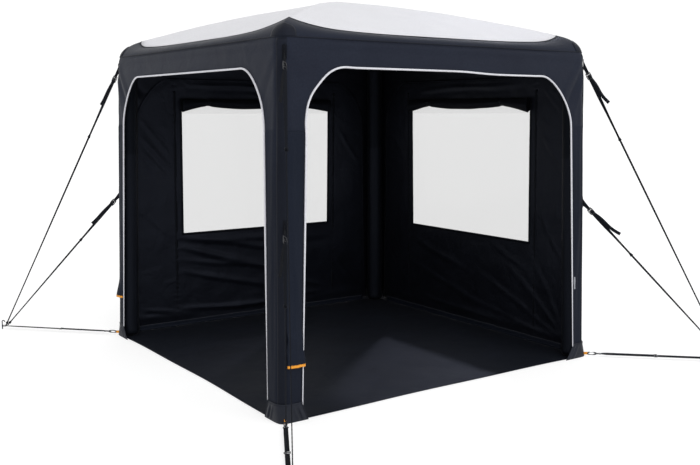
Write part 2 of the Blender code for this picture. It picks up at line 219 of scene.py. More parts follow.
def settle_mesh(obj, bm):
    """Put an edited mesh back in its object, with its faces turned outwards and shaded smooth."""
    bmesh.ops.recalc_face_normals(bm, faces=bm.faces)
    bm.to_mesh(obj.data)
    bm.free()
    obj.data.polygons.foreach_set("use_smooth", [True] * len(obj.data.polygons))
    return obj


def grid(skin, rows, flip=False):
    """Append a grid to a mesh in the making. Its rows hold (point, UV) pairs."""
    points, faces, corners = skin
    start, wide = len(points), len(rows[0])
    points.extend(p for row in rows for p, uv in row)
    for i in range(len(rows) - 1):
        for j in range(wide - 1):
            quad = [(i, j), (i, j + 1), (i + 1, j + 1), (i + 1, j)]
            if flip:
                quad.reverse()
            faces.append(tuple(start + a * wide + b for a, b in quad))
            corners.append([rows[a][b][1] for a, b in quad])


def lengths(path):
    """Length passed along a path at each of its points."""
    reach = [0.0]
    for a, b in zip(path, path[1:]):
        reach.append(reach[-1] + (b - a).length)
    return reach


def heading(path, k):
    """Direction of a path at its point k."""
    return (path[min(k + 1, len(path) - 1)] - path[max(k - 1, 0)]).normalized()


def frames(path, up=(0.0, 0.0, 1.0)):
    """Tangent, side and up vectors along a path, turned as little as possible from point to point."""
    result = []
    lift = Vector(up)
    for k in range(len(path)):
        ahead = heading(path, k)
        lift = lift - ahead * lift.dot(ahead)
        if lift.length < 1e-6:
            lift = ahead.orthogonal()
        lift.normalize()
        result.append((ahead, ahead.cross(lift).normalized(), lift))
    return result


def tube(skin, path, radius, sides, up=(0.0, 0.0, 1.0), flat=1.0, caps=True):
    """Append a round bar along a path. radius is a number or one a point; flat squashes it along up."""
    points, faces, corners = skin
    path = [Vector(p) for p in path]
    radii = radius if hasattr(radius, "__len__") else [radius] * len(path)
    start, last = len(points), len(points) + (len(path) - 1) * sides
    for p, r, (ahead, side, lift) in zip(path, radii, frames(path, up)):
        for m in range(sides):
            angle = 2 * math.pi * m / sides
            points.append(p + side * r * math.cos(angle) + lift * r * flat * math.sin(angle))
    reach, girth = lengths(path), 2 * math.pi * radii[0] / sides
    for k in range(len(path) - 1):
        a = start + k * sides
        for m in range(sides):
            n = (m + 1) % sides
            faces.append((a + m, a + n, a + sides + n, a + sides + m))
            corners.append([(m * girth, reach[k]), ((m + 1) * girth, reach[k]),
                            ((m + 1) * girth, reach[k + 1]), (m * girth, reach[k + 1])])
    if caps:
        faces.append(tuple(start + m for m in reversed(range(sides))))
        faces.append(tuple(last + m for m in range(sides)))
        corners.extend([[(0.0, 0.0)] * sides] * 2)


def freeze(obj):
    """Put the result of an object's modifiers in its mesh."""
    bpy.context.view_layer.update()
    graph = bpy.context.evaluated_depsgraph_get()
    mesh = bpy.data.meshes.new_from_object(obj.evaluated_get(graph))
    obj.modifiers.clear()
    obj.data = mesh
    return obj


def thicken(obj, thickness, offset=-1.0, inner=0):
    """Give a cloth surface its thickness. inner is added to the material number of the inner face."""
    solid = obj.modifiers.new("thickness", "SOLIDIFY")
    solid.thickness = thickness
    solid.offset = offset
    solid.use_even_offset = False
    solid.material_offset = inner
    return freeze(obj)


def woven_cloth(name, colour, shade, rough, sheen=0.02, crease=0.006, pitch=PITCH, weave=0.35, shine=0.10,
                foot=1.0, fade=(1.35, 1.80)):
    """Coated polyester cloth: fine plain weave, faint clouds of shade, and soft creases in the bump.

    Polyester has an IOR near 1.57. Its coating gives a low, even sheen without a sharp highlight.
    foot is how light the cloth is below the heights in fade: painted shade, darker towards the ground.
    """
    mat, tree = new_material(name)
    where = add(tree, "ShaderNodeUVMap", uv_map="cloth").outputs["UV"]
    scale = math.pi / 10 / pitch
    warp = add(tree, "ShaderNodeTexWave", {"Vector": where, "Scale": scale}, bands_direction="X")
    weft = add(tree, "ShaderNodeTexWave", {"Vector": where, "Scale": scale}, bands_direction="Y")
    threads = add(tree, "ShaderNodeMath", {0: warp.outputs["Fac"], 1: weft.outputs["Fac"]},
                  operation="MULTIPLY").outputs[0]
    cloud = add(tree, "ShaderNodeTexNoise", {"Vector": where, "Scale": 3.1, "Detail": 5.0, "Roughness": 0.6})
    fleck = add(tree, "ShaderNodeTexNoise", {"Vector": where, "Scale": 90.0, "Detail": 2.0})
    worn = add(tree, "ShaderNodeMath", {0: cloud.outputs["Fac"], 1: fleck.outputs["Fac"]},
               operation="MULTIPLY").outputs[0]
    tone = add(tree, "ShaderNodeMapRange", {"Value": worn, "From Min": 0.12, "From Max": 0.42}).outputs[0]
    dyed = add(tree, "ShaderNodeMix", {"Factor": tone, "A": linear(shade), "B": linear(colour)},
               data_type="RGBA").outputs["Result"]
    dip = add(tree, "ShaderNodeMapRange", {"Value": threads, "To Min": 0.86, "To Max": 1.06}).outputs[0]
    dyed = add(tree, "ShaderNodeMix", {"Factor": 1.0, "A": dyed, "B": dip},
               data_type="RGBA", blend_type="MULTIPLY").outputs["Result"]
    gloss = add(tree, "ShaderNodeMapRange", {"Value": cloud.outputs["Fac"], "From Min": 0.3, "From Max": 0.7,
                                             "To Min": rough - 0.07, "To Max": rough + 0.05})
    puffs = add(tree, "ShaderNodeTexNoise", {"Vector": where, "Scale": 7.0, "Detail": 3.0, "Distortion": 0.6})
    folds = add(tree, "ShaderNodeBump", {"Height": puffs.outputs["Fac"], "Strength": 0.6, "Distance": crease})
    fine = add(tree, "ShaderNodeBump", {"Height": threads, "Strength": weave, "Distance": pitch * 0.12,
                                        "Normal": folds.outputs[0]})
    # painted shade: below the heights in fade the colour is darkened, standing in for less light near the
    # ground
    if foot < 1.0:
        where = add(tree, "ShaderNodeTexCoord").outputs["Object"]
        high = add(tree, "ShaderNodeSeparateXYZ", {0: where}).outputs["Z"]
        painted_shade = add(tree, "ShaderNodeMapRange", {"Value": high, "From Min": fade[0], "From Max": fade[1],
                                                  "To Min": foot}, interpolation_type="SMOOTHSTEP")
        dyed = add(tree, "ShaderNodeMix", {"Factor": 1.0, "A": dyed, "B": painted_shade.outputs[0]},
                   data_type="RGBA", blend_type="MULTIPLY").outputs["Result"]
    return finish_material(mat, tree, {
        "Base Color": dyed, "Roughness": gloss.outputs[0], "IOR": 1.50, "Specular IOR Level": shine,
        "Specular Tint": linear("#D4DFFF"), "Sheen Weight": sheen, "Sheen Roughness": 0.4,
        "Normal": fine.outputs[0]})


def own(piece, slot, *nodes):
    """The piece stands on the ground with the frame and stands for CAD nodes. slot is not used."""
    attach(piece, "root")
    if nodes:
        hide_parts(*nodes)
    return piece


floor_oxford = woven_cloth("coated_floor_oxford", "#12161F", "#0C0F16", 0.56, sheen=0.01, shine=0.13)
lip_tape = woven_cloth("grey_seam_tape", "#3A3C42", "#2C2E33", 0.6, sheen=0.0, crease=0.001)


def sheet_reach(t, open_side):
    """Distance of the sheet's edge from the middle, t running from -1 to 1 along that side."""
    return SHEET_FRONT + 0.020 * t * t + 0.003 * math.sin(7 * t) if open_side else SHEET_WALL


def ripple(x, y):
    """Height of the sheet at a place: its ripples die out towards its edge."""
    wide = noise.noise((x * 2.3, y * 2.3, 4.0)) * 0.0035
    fine = noise.noise((x * 9.0, y * 6.0, 9.0)) * 0.0012
    return SHEET_LIE + (wide + fine) * (1 - smooth(1.0, 1.15, max(abs(x), abs(y))))


def lip_point(side, x, out, share, low):
    """Point of the lip along a wall, its share of the height up from low, and its UV."""
    lift = LIP * share * (1 + 0.10 * noise.noise((x * 6, side * 3.0, 1.0)))
    wave = 0.004 * noise.noise((x * 8, side * 5.0, 7.0)) * share
    return quarter(side) @ Vector((x, -SHEET_WALL - out + wave, lift + low)), (x, -SHEET_WALL - lift)


def groundsheet():
    skin = new_skin()
    steps = even(-1, 1, SHEET_CELLS)
    flat = [[(s * sheet_reach(t, s < 0), t * sheet_reach(s, t < 0)) for s in steps] for t in steps]
    grid(skin, [[(Vector((x, y, ripple(x, y))), (x, y)) for x, y in row] for row in flat])
    for p in skin[0]:
        past = Vector((abs(p.x) - TUCK, abs(p.y) - TUCK, 0))
        if past.x > 0 and past.y > 0 and past.length > TUCK_R:
            past *= TUCK_R / past.length
            p.x, p.y = math.copysign(TUCK + past.x, p.x), math.copysign(TUCK + past.y, p.y)
    for side in (1, 2):
        across = even(-LIP_HALF, LIP_HALF, 84)
        grid(skin, [[lip_point(side, x, out, share, 0.0051) for x in across] for out, share in LIP_STEPS])
    return thicken(mesh_piece("groundsheet_cloth", skin, floor_oxford), SHEET_THICK)


sheet = own(groundsheet(), "floor_sheet", "groundsheet")
skin = new_skin()
for side in (1, 2):
    tube(skin, [lip_point(side, x, 0.0, 1.0, 0.0046)[0] for x in even(-1.03, 1.03, 160)], 0.0026, 6)
own(mesh_piece("sheet_lip_binding", skin, lip_tape), "floor_sheet")


# OUTER COVER
# The dark cover is cut from coated 300D polyester oxford and sewn into one skin: four corner legs,
# the arched skirts between them and the sloping border of the roof. The air beams inside pull it
# taut, so it runs smooth over the corners and breaks into soft folds down the legs.
HALF = 1.200            # half width of the body at the ground; its faces lean in by LEAN a metre
LEAN = 0.0195
CORNER_R = 0.070
COVER_LOW = 0.078
SPRING = 1.570          # height where the doorway's corner curve starts
ARCH_FOOT = 1.0693      # half width of a doorway at the ground, drawing in by ARCH_LEAN a metre
ARCH_LEAN = 0.0362
ARCH_FLAT = 0.755       # half length of its level top
ARCH_TOP = 1.884
ARCH_POWER = 1.5
EAVES = 2.030
APEX = 2.385
HIP_FALL = 0.135
HIP_CURVE = 0.104
ROOF_SAG = 0.045
ROOF_EDGE = 1.080       # the light roof reaches this far at the middle of a side
CAP_START = 0.750       # its edge bows in from here to CAP_TIP, its corner on the hip
CAP_TIP = 1.015
COVER_CLOTH = 0.0012
LEG_SEAM = 1.550        # the legs are sewn to the skirts at this height
WELD = 0.0002           # points of one piece that lie closer than this are joined
LEG_ROWS, LEG_CELLS, SKIRT_ROWS, BORDER_ROWS, ARCH_CELLS = 104, 13, 24, 11, 150
CORNERS = ("near", "right", "far", "left")
SIDES = ("front", "right", "back", "left")

# foot paints shade: the skirts are drawn darker below a lighter border, as if less light reached them
outer_oxford = woven_cloth("coated_cover_oxford", "#222631", "#1B1E28", 0.60, sheen=0.10, crease=0.005,
                           shine=0.07, foot=0.80)
# the legs take a darker copy of the cover cloth with less sheen; its foot paints shade, darker towards the
# ground
leg_oxford = woven_cloth("coated_leg_oxford", "#20242E", "#191C26", 0.60, sheen=0.015, crease=0.005,
                         shine=0.06, foot=0.74, fade=(1.12, 1.56))
coating_black = woven_cloth("black_backing_coat", "#0B0C11", "#07080C", 0.46, sheen=0.0, shine=0.15)


def bump_at(value, middle, width):
    """1 at the middle, falling off to both sides over about the width."""
    return math.exp(-((value - middle) / width) ** 2)


def face_at(z):
    """Distance of the body's faces from the middle at a height."""
    return HALF - LEAN * z


def resample(points, count):
    """Points at even spacing along a path."""
    points = [Vector(p) for p in points]
    reach = lengths(points)
    result = []
    k = 0
    for i in range(count):
        want = reach[-1] * i / (count - 1)
        while k < len(points) - 2 and reach[k + 1] < want:
            k += 1
        span = max(reach[k + 1] - reach[k], 1e-12)
        result.append(points[k].lerp(points[k + 1], (want - reach[k]) / span))
    return result


def arch_corner(count=200):
    """Points (x, z, 0) of the doorway's right-hand corner, eased into the leg and into the level top."""
    points = [(ARCH_FOOT - ARCH_LEAN * z, z, 0) for z in (SPRING - 0.12, SPRING - 0.06)]
    base = ARCH_FOOT - ARCH_LEAN * SPRING
    for k in range(61):
        share = math.sin(k / 60 * math.pi / 2)
        along = max(0.0, 1.0 - share ** ARCH_POWER) ** (1.0 / ARCH_POWER)
        points.append((ARCH_FLAT + (base - ARCH_FLAT) * along, SPRING + (ARCH_TOP - SPRING) * share, 0))
    even = resample(points + [(ARCH_FLAT - 0.05, ARCH_TOP, 0), (ARCH_FLAT - 0.10, ARCH_TOP, 0)], count)
    for _ in range(2):
        reach = [min(7, k, count - 1 - k) for k in range(count)]
        even = [sum(even[k - r:k + r + 1], Vector((0, 0, 0))) / (2 * r + 1) for k, r in enumerate(reach)]
    return even


ARCH_CORNER = arch_corner()


def leg_edge(z):
    """Half width of the doorway at a height."""
    if z > SPRING - 0.10:
        for a, b in zip(ARCH_CORNER, ARCH_CORNER[1:]):
            if z <= b.y:
                return a.x + (b.x - a.x) * (z - a.y) / (b.y - a.y)
    return ARCH_FOOT - ARCH_LEAN * z


def arch_bend(count=60):
    """(x, z) points of the right-hand corner curve, from the spring line to the level top."""
    above = [(leg_edge(SPRING), SPRING, 0)] + [p for p in ARCH_CORNER if p.y > SPRING]
    return [(p.x, p.y) for p in resample(above, count + 1)]


def arch_top_path(count):
    """(x, z) points over the doorway from the left spring line to the right one."""
    bend = arch_bend()
    whole = [(-x, z, 0) for x, z in bend] + [(x, z, 0) for x, z in reversed(bend)]
    return [(p.x, p.y) for p in resample(whole, count)]


def inset(z):
    """How far the cover draws in under the eaves."""
    return 0.008 * smooth(1.90, EAVES, z)


def developed(z):
    """Length of the face from its middle to the diagonal, measured round the corner."""
    return face_at(z) - inset(z) - CORNER_R + CORNER_R * math.pi / 4


def on_face(u, z, proud=0.0):
    """Point of the front face: u runs level along the cloth from the middle, round the corners."""
    a = face_at(z) - inset(z)
    flat = a - CORNER_R
    turn = max(0.0, abs(u) - flat) / CORNER_R
    if turn == 0.0:
        return Vector((u, -a - proud, z))
    radius = CORNER_R + proud
    return Vector((math.copysign(flat + radius * math.sin(turn), u), -(flat + radius * math.cos(turn)), z))


def hip_height(t):
    return APEX - HIP_FALL * t - HIP_CURVE * t * t


def roof_height(x, y):
    """Height of the light roof over a place: it sags between the hips."""
    t = max(abs(x), abs(y), 1e-6)
    share = min(abs(x), abs(y)) / t
    return hip_height(t) - ROOF_SAG * (t / ROOF_EDGE) ** 2 * (1.0 - share ** 4)


def edge_point(x):
    """Point where the light roof cloth meets the dark border, on the front side."""
    bow = max(0.0, (abs(x) - CAP_START) / (CAP_TIP - CAP_START))
    y = -(ROOF_EDGE - (ROOF_EDGE - CAP_TIP) * (0.885 * bow ** 2 + 0.115 * bow ** 20))
    return Vector((x, y, roof_height(x, y)))


def border_point(ratio, t):
    """Point of the sloping border, ratio along the seam from -1 to 1 and t up from the seam."""
    p = on_face(ratio * developed(EAVES), EAVES)
    corner = on_face(developed(EAVES), EAVES)
    q = edge_point(p.x * CAP_TIP / corner.x)
    knee = Vector((p.x + 0.12 * (q.x - p.x), p.y + 0.12 * (q.y - p.y), p.z + 0.74 * (q.z - p.z)))
    return p * (1 - t) ** 2 + knee * 2 * t * (1 - t) + q * t * t


def to_front(p):
    """Side number of a point and the point turned to the front."""
    if abs(p.y) >= abs(p.x):
        side = 0 if p.y < 0 else 2
    else:
        side = 1 if p.x > 0 else 3
    x, y = [(p.x, p.y), (p.y, -p.x), (-p.x, -p.y), (-p.y, p.x)][side]
    return side, Vector((x, y, p.z))


arch_tree = kdtree.KDTree(400 + 2 * 120)
for index, (arch_x, arch_z) in enumerate(arch_top_path(400)):
    arch_tree.insert((arch_x, arch_z, 0), index)
for index in range(120):
    height = SPRING * index / 120
    arch_tree.insert((leg_edge(height), height, 0), 400 + 2 * index)
    arch_tree.insert((-leg_edge(height), height, 0), 401 + 2 * index)
arch_tree.balance()


def near_line(c, z, start, finish):
    """Distance of a point from a line, and the share of the line's length that it has passed."""
    a, b, p = Vector(start), Vector(finish), Vector((c, z))
    run = b - a
    return (p - a).cross(run) / run.length, (p - a).dot(run) / run.length_squared


# Tension folds of a side as (from, to, height, width): distance from the corner and height above ground
LEG_FOLDS = [((0.060, 1.66), (0.082, 0.12), 0.0030, 0.013), ((0.104, 1.50), (0.098, 0.34), 0.0026, 0.014),
             ((0.020, 1.86), (0.046, 1.02), -0.0022, 0.010), ((0.046, 1.02), (0.066, 0.16), -0.0026, 0.011),
             ((0.128, 1.52), (0.126, 0.62), -0.0020, 0.010), ((0.070, 0.86), (0.120, 0.50), 0.0022, 0.012)]
# The same where the guys pull: deep at the right and left corners, faint at the near and far ones
GUY_FOLDS = [((0.000, 1.960), (0.230, 1.620), -0.0080, 0.018),
             ((0.010, 1.990), (0.290, 1.680), 0.0058, 0.022),
             ((0.000, 1.930), (0.140, 1.560), 0.0032, 0.016),
             ((0.010, 1.080), (0.150, 0.890), -0.0018, 0.012),
             ((0.010, 1.100), (0.150, 0.940), 0.0018, 0.016)]


def cloud(p, level, upright, rise):
    """Soft unevenness of cloth at a point, by its scale along and up the cloth."""
    return noise.noise((p.x * level, p.y * level, p.z * upright)) * rise


def relief(p):
    """How far the cover stands proud of its taut form at a point, in metres."""
    side, f = to_front(p)
    flat = face_at(f.z) - inset(f.z) - CORNER_R
    u = abs(f.x)
    if u >= face_at(f.z) - CORNER_R:
        u = flat + CORNER_R * math.atan2(abs(f.x) - flat, -f.y - flat)
    c = developed(min(f.z, EAVES)) - u
    left_end = f.x < 0
    hem = arch_tree.find((f.x, f.z, 0))[2] if f.z < EAVES else 1.0
    free = smooth(0.004, 0.040, hem) * smooth(0.0, 0.030, f.z - COVER_LOW)
    leg = 1 - smooth(1.45, 1.75, f.z)
    slope = smooth(EAVES - 0.01, EAVES + 0.03, f.z)
    height = leg * (cloud(p, 11, 1.5, 0.0028) + cloud(p, 24, 4, 0.0010))
    height += (1 - leg) * (cloud(p, 2.2, 9, 0.0026) + cloud(p, 7, 16, 0.0009))
    for folds, strength in ((LEG_FOLDS, 1.0), (GUY_FOLDS, 1.0 if left_end == (side in (1, 3)) else 0.25)):
        for start, finish, rise, width in folds:
            bend = noise.noise((side * 7.0 + (0 if left_end else 3.5), f.z * 3.1, start[0] * 40))
            off, share = near_line(c + 0.010 * bend, f.z, start, finish)
            if -0.05 < share < 1.05:
                taper = smooth(-0.05, 0.18, share) * (1 - smooth(0.55, 1.05, share))
                height += strength * rise * taper * bump_at(off, 0, width) * smooth(0.0, 0.02, c)
    # a swell and a groove along the eaves, a welt at the cross seam, and a slack sag over the doorway
    height += (0.0040 + 0.0035 * smooth(0.10, 0.80, f.x)) * bump_at(f.z, EAVES - 0.034, 0.020)
    height -= 0.0045 * bump_at(f.z, EAVES - 0.010, 0.007)
    height += 0.0011 * bump_at(f.z, LEG_SEAM - 0.002, 0.008) * smooth(0.03, 0.06, hem)
    sag = math.cos(min(1.0, abs(f.x) / 0.95) * math.pi / 2)
    skirt = smooth(ARCH_TOP, EAVES, f.z) * (1 - smooth(1.96, EAVES, f.z))
    height -= 0.004 * (1 - leg) * (1 - slope) * sag * skirt
    return max(height * free, -0.0035 - 0.005 * smooth(0.055, 0.10, c))


# Where the doorways hang out of line, as (side, x, z, along, up, reach)
DRIFTS = [(0, -0.905, 1.765, -0.019, 0.018, 0.17), (0, -0.985, 1.670, -0.006, 0.0, 0.12),
          (3, 0.905, 1.765, 0.012, 0.009, 0.17), (0, 0.550, 1.880, -0.004, -0.013, 0.38)]


def settled(p):
    """A point of the cover moved to where the cloth has hung out of line beside a doorway's corner."""
    side, f = to_front(p)
    shift = Vector((0, 0, 0))
    for where, x, z, along, up, reach in DRIFTS:
        if side == where:
            shift += Vector((along, 0, up)) * math.exp(-(math.hypot(f.x - x, f.z - z) / reach) ** 4)
    return p + quarter(side) @ shift * (1 - smooth(1.90, 2.00, f.z))


def skirt_ratios(top):
    """Where the skirt's columns start, as (share of the face, z), and where they meet the eaves."""
    low = [(r, SPRING) for r in even(-1, -leg_edge(SPRING) / developed(SPRING), LEG_CELLS)[:-1]]
    low += [(x / developed(z), z) for x, z in top]
    low += [(-r, z) for r, z in reversed(low[:LEG_CELLS])]
    edge = 0.985 / developed(EAVES)
    high = even(-1, -edge, LEG_CELLS)[:-1] + even(-edge, edge, ARCH_CELLS)
    high += [-r for r in reversed(high[:LEG_CELLS])]
    return low, high


def cover():
    skin = new_skin()
    low, high = skirt_ratios(arch_top_path(ARCH_CELLS + 1))
    for side in range(4):
        spin = quarter(side)
        for sign in (-1, 1):
            rows = []
            for z in even(COVER_LOW, SPRING, LEG_ROWS):
                line = [sign * u for u in even(leg_edge(z), developed(z), LEG_CELLS)]
                rows.append([(spin @ on_face(u, z), (u, z)) for u in line])
            grid(skin, rows, flip=sign < 0)
        rows = []
        for t in even(0, 1, SKIRT_ROWS):
            line = [(r0 + (r1 - r0) * t, z0 + (EAVES - z0) * t) for (r0, z0), r1 in zip(low, high)]
            rows.append([(spin @ on_face(r * developed(z), z), (r * developed(z), z)) for r, z in line])
        grid(skin, rows)
        grid(skin, [[(spin @ border_point(r, t), (r * developed(EAVES), EAVES + 0.13 * t)) for r in high]
                    for t in even(0, 1, BORDER_ROWS)])
    piece = mesh_piece("outer_cover", skin, outer_oxford, coating_black, leg_oxford, coating_black, weld=WELD)
    shape = piece.data
    for polygon in shape.polygons:
        if polygon.center.z < LEG_SEAM:
            polygon.material_index = 2
    normals = [v.normal.copy() for v in shape.vertices]
    for v, normal in zip(shape.vertices, normals):
        v.co = settled(v.co + normal * relief(v.co))
    return thicken(piece, COVER_CLOTH, inner=1)


outer_cover = own(cover(), "outer_fabric", *["leg_cover_" + name for name in CORNERS],
                  *[kind + side for kind in ("skirt_", "border_") for side in SIDES])


# LIGHT ROOF
# Pale grey coated cloth over the four beams: one sheet, seamed on the hips, blacked out inside, and
# sewn to the dark border along a curved edge. It bows up over the beams and sags between them.
ROOF_CLOTH = 0.0012
ROOF_COLUMNS, ROOF_STEPS = 120, 36

roof_oxford = woven_cloth("pale_roof_oxford", "#D9D9DD", "#CFCFD3", 0.62, sheen=0.12)


def roof_relief(p):
    """Slack of the roof at a point, and the small puckers where it is sewn to the border."""
    side, f = to_front(p)
    t = max(abs(p.x), abs(p.y))
    wide = noise.noise((p.x * 2.6, p.y * 2.6, 3.0)) * 0.0045 + noise.noise((p.x * 7, p.y * 7, 8.0)) * 0.0016
    pull = math.sin(f.x * 34 + 3 * noise.noise((f.x * 3, side * 4.0, 2.0))) * 0.0011 * smooth(0.80, 1.07, t)
    return (wide + pull) * smooth(0.02, 0.25, t) * (1 - smooth(1.03, 1.08, t)) + 0.0006


def light_roof():
    skin = new_skin()
    to_cap = CAP_TIP / on_face(developed(EAVES), EAVES).x
    low = [edge_point(on_face(r * developed(EAVES), EAVES).x * to_cap) for r in even(-1, 1, ROOF_COLUMNS)]
    for side in range(4):
        rows = []
        for t in even(0, 1, ROOF_STEPS):
            scale = 1 - t ** 0.9 * 0.996
            spots = [(p.x * scale, p.y * scale) for p in low]
            rows.append([(quarter(side) @ Vector((x, y, roof_height(x, y))), (x, -y)) for x, y in spots])
        grid(skin, rows)
    piece = mesh_piece("roof_cloth", skin, roof_oxford, coating_black, weld=2 * WELD)
    bm = bmesh.new()
    bm.from_mesh(piece.data)
    rim = [e for e in bm.edges if e.is_boundary and max(abs(e.verts[0].co.x), abs(e.verts[0].co.y)) < 0.1]
    bmesh.ops.contextual_create(bm, geom=rim)
    bmesh.ops.triangulate(bm, faces=[f for f in bm.faces if len(f.verts) > 4])
    settle_mesh(piece, bm)
    for v in piece.data.vertices:
        v.co.z += roof_relief(v.co)
    return thicken(piece, ROOF_CLOTH, inner=1)


roof_cloth = own(light_roof(), "roof_fabric", *["roof_panel_" + side for side in SIDES])


# EDGE PIPING
# A round bead of off-white reflective cloth over a cord, sewn into each doorway edge from foot to
# foot, with one line of stitching in the cover beside it.
BEAD_R = 0.0056         # it thins to a bit over half below chest height
STITCH = (0.0011, 0.0011, 0.0052)
STITCH_STEP = 0.0075

bead_cloth = woven_cloth("off_white_piping_cloth", "#DBDBE1", "#C7C7CD", 0.55, sheen=0.05, crease=0.0005,
                         weave=0.15)
dark_thread = woven_cloth("dark_polyester_thread", "#2A2C35", "#20222A", 0.6, sheen=0.0, crease=0.0002,
                          pitch=0.0012)


def turned(points, side):
    return [quarter(side) @ Vector(p) for p in points]


def doorway_path(low, outset=0.0, proud=0.0, step=0.012):
    """Points round the doorway from foot to foot on the front side, outset into the cover."""
    flat = [(leg_edge(z), z) for z in (low, 0.4, 0.8, 1.2, 1.48, 1.51, 1.54)] + arch_bend(80)
    flat = [Vector((x, z, 0)) for x, z in flat] + [Vector((-x, z, 0)) for x, z in reversed(flat)]
    flat = resample(flat, int(lengths(flat)[-1] / step))
    points = []
    for k, p in enumerate(flat):
        ahead = heading(flat, k)
        points.append(on_face(p.x + ahead.y * outset, p.y - ahead.x * outset, proud))
    return points


def row_tree(shape):
    """Geometry node tree that sets small bars or blocks along every line of a mesh."""
    tree = bpy.data.node_groups.new("row_of_" + shape, "GeometryNodeTree")
    face = tree.interface
    face.new_socket("Lines", in_out="INPUT", socket_type="NodeSocketGeometry")
    for name, kind in (("Spacing", "Float"), ("Size", "Vector"), ("Finish", "Material")):
        face.new_socket(name, in_out="INPUT", socket_type="NodeSocket" + kind)
    face.new_socket("Row", in_out="OUTPUT", socket_type="NodeSocketGeometry")
    given = add(tree, "NodeGroupInput").outputs
    line = add(tree, "GeometryNodeMeshToCurve", {"Mesh": given["Lines"]})
    spots = add(tree, "GeometryNodeCurveToPoints", {"Curve": line.outputs["Curve"],
                                                    "Length": given["Spacing"]}, mode="LENGTH")
    turn = add(tree, "FunctionNodeAlignRotationToVector",
               {"Rotation": spots.outputs["Rotation"], "Vector": spots.outputs["Tangent"]}, axis="Z")
    if shape == "bars":
        form = add(tree, "GeometryNodeMeshCylinder", {"Vertices": 6, "Radius": 0.5, "Depth": 1.0})
    else:
        form = add(tree, "GeometryNodeMeshCube", {"Size": (1.0, 1.0, 1.0)})
    placed = add(tree, "GeometryNodeInstanceOnPoints",
                 {"Points": spots.outputs["Points"], "Instance": form.outputs["Mesh"],
                  "Rotation": turn.outputs[0], "Scale": given["Size"]})
    real = add(tree, "GeometryNodeRealizeInstances", {"Geometry": placed.outputs[0]})
    done = add(tree, "GeometryNodeSetMaterial", {"Geometry": real.outputs[0], "Material": given["Finish"]})
    add(tree, "NodeGroupOutput", {"Row": done.outputs[0]})
    return tree


ROW_TREES = {shape: row_tree(shape) for shape in ("bars", "blocks")}


def row_along(name, slot, paths, spacing=STITCH_STEP, size=STITCH, finish=dark_thread, shape="bars"):
    """A piece of small bars (stitches) or blocks (zip teeth) set along paths."""
    verts, edges = [], []
    for path in paths:
        start = len(verts)
        verts.extend(tuple(p) for p in path)
        edges.extend((start + k, start + k + 1) for k in range(len(path) - 1))
    mesh = bpy.data.meshes.new(name)
    mesh.from_pydata(verts, edges, [])
    obj = bpy.data.objects.new(name, mesh)
    bpy.context.scene.collection.objects.link(obj)
    tree = ROW_TREES[shape]
    rule = obj.modifiers.new("row", "NODES")
    rule.node_group = tree
    inputs = {item.name: item.identifier for item in tree.interface.items_tree if item.in_out == "INPUT"}
    for key, value in (("Spacing", spacing), ("Size", size), ("Finish", finish)):
        rule[inputs[key]] = value
    freeze(obj)
    if not obj.data.materials:
        obj.data.materials.append(finish)
    if "cloth" not in obj.data.uv_layers:
        obj.data.uv_layers.new(name="cloth")
    return own(obj, slot)


def on_cover(points, side, proud):
    """Lift points of a side on to the folded cover and turn them to their place."""
    lifted = []
    for p in turned(points, side):
        place, f = to_front(p)
        flat = face_at(p.z) - CORNER_R
        across = max(0.0, abs(f.x) - flat)
        normal = Vector((math.copysign(across, f.x), f.y + flat if across else -1.0, 0)).normalized()
        lifted.append(settled(p + (quarter(place) @ normal) * (relief(p) + proud)))
    return lifted


skin = new_skin()
for side in range(4):
    edge_line = [settled(p) for p in turned(doorway_path(0.086, -0.0030, 0.0026), side)]
    thick = []
    for p in edge_line:
        rolled = 0.42 * (1 - smooth(0.30, 0.75, p.z)) if side == 3 and p.y < 0 else 0.0
        thick.append(BEAD_R * (0.55 + 0.45 * smooth(0.20, 1.10, p.z)) * (1 - rolled))
    tube(skin, edge_line, thick, 10)
own(mesh_piece("doorway_piping", skin, bead_cloth), "roof_fabric")
row_along("piping_stitching", "outer_fabric",
          [on_cover(doorway_path(0.12, 0.010), side, 0.0001) for side in range(4)])


# CORNER BANDS AND SEAMS
# A doubled strip of the cover cloth runs down each corner from the roof's point to the foot and
# takes the pull of the guys. A welt marks the eaves, with a rounded patch over it at each corner, and
# a binding closes the edge of the light roof.
BAND_HALF = 0.027
BAND_LOW = 0.092
BAND_ROWS, BAND_CELLS = 90, 6
TRIM_CLOTH = 0.0011
PATCH_HALF = 0.078
EDGE_CELLS = 150

# foot paints shade: the band is drawn darker down the leg than at the skirt
band_oxford = woven_cloth("doubled_corner_oxford", "#1A1D25", "#14161D", 0.58, sheen=0.05, crease=0.003,
                          foot=0.72)


def past_corner(p, c):
    """A point beside the corner at the left end of the front, put on the other face where c is negative."""
    return Vector((p.y, p.x, p.z)) if c < 0 else p


def corner_strip(side):
    """Rows of the doubled strip down the corner at the left end of a side, with their UVs."""
    rows = []
    for z in even(BAND_LOW, EAVES - 0.004, BAND_ROWS):
        middle = quarter(side) @ Vector((-(face_at(z) - CORNER_R), -(face_at(z) - CORNER_R), z))
        row = []
        for c in even(-BAND_HALF, BAND_HALF, BAND_CELLS):
            p = quarter(side) @ past_corner(on_face(abs(c) - developed(z), z), c)
            out = p - middle
            out.z = 0
            row.append((p + out.normalized() * (relief(p) + 0.0010), (c, z)))
        rows.append(row)
    return rows


skin = new_skin()
band_edges = []
for side in range(4):
    rows = corner_strip(side)
    grid(skin, rows)
    for edge, inner in ((0, 1), (-1, -2)):
        band_edges.append([row[edge][0].lerp(row[inner][0], 0.35) for row in rows])
own(thicken(mesh_piece("corner_bands", skin, band_oxford), TRIM_CLOTH, offset=0.0), "outer_fabric")
row_along("band_stitching", "outer_fabric", band_edges, size=(0.0013, 0.0020, 0.0052))


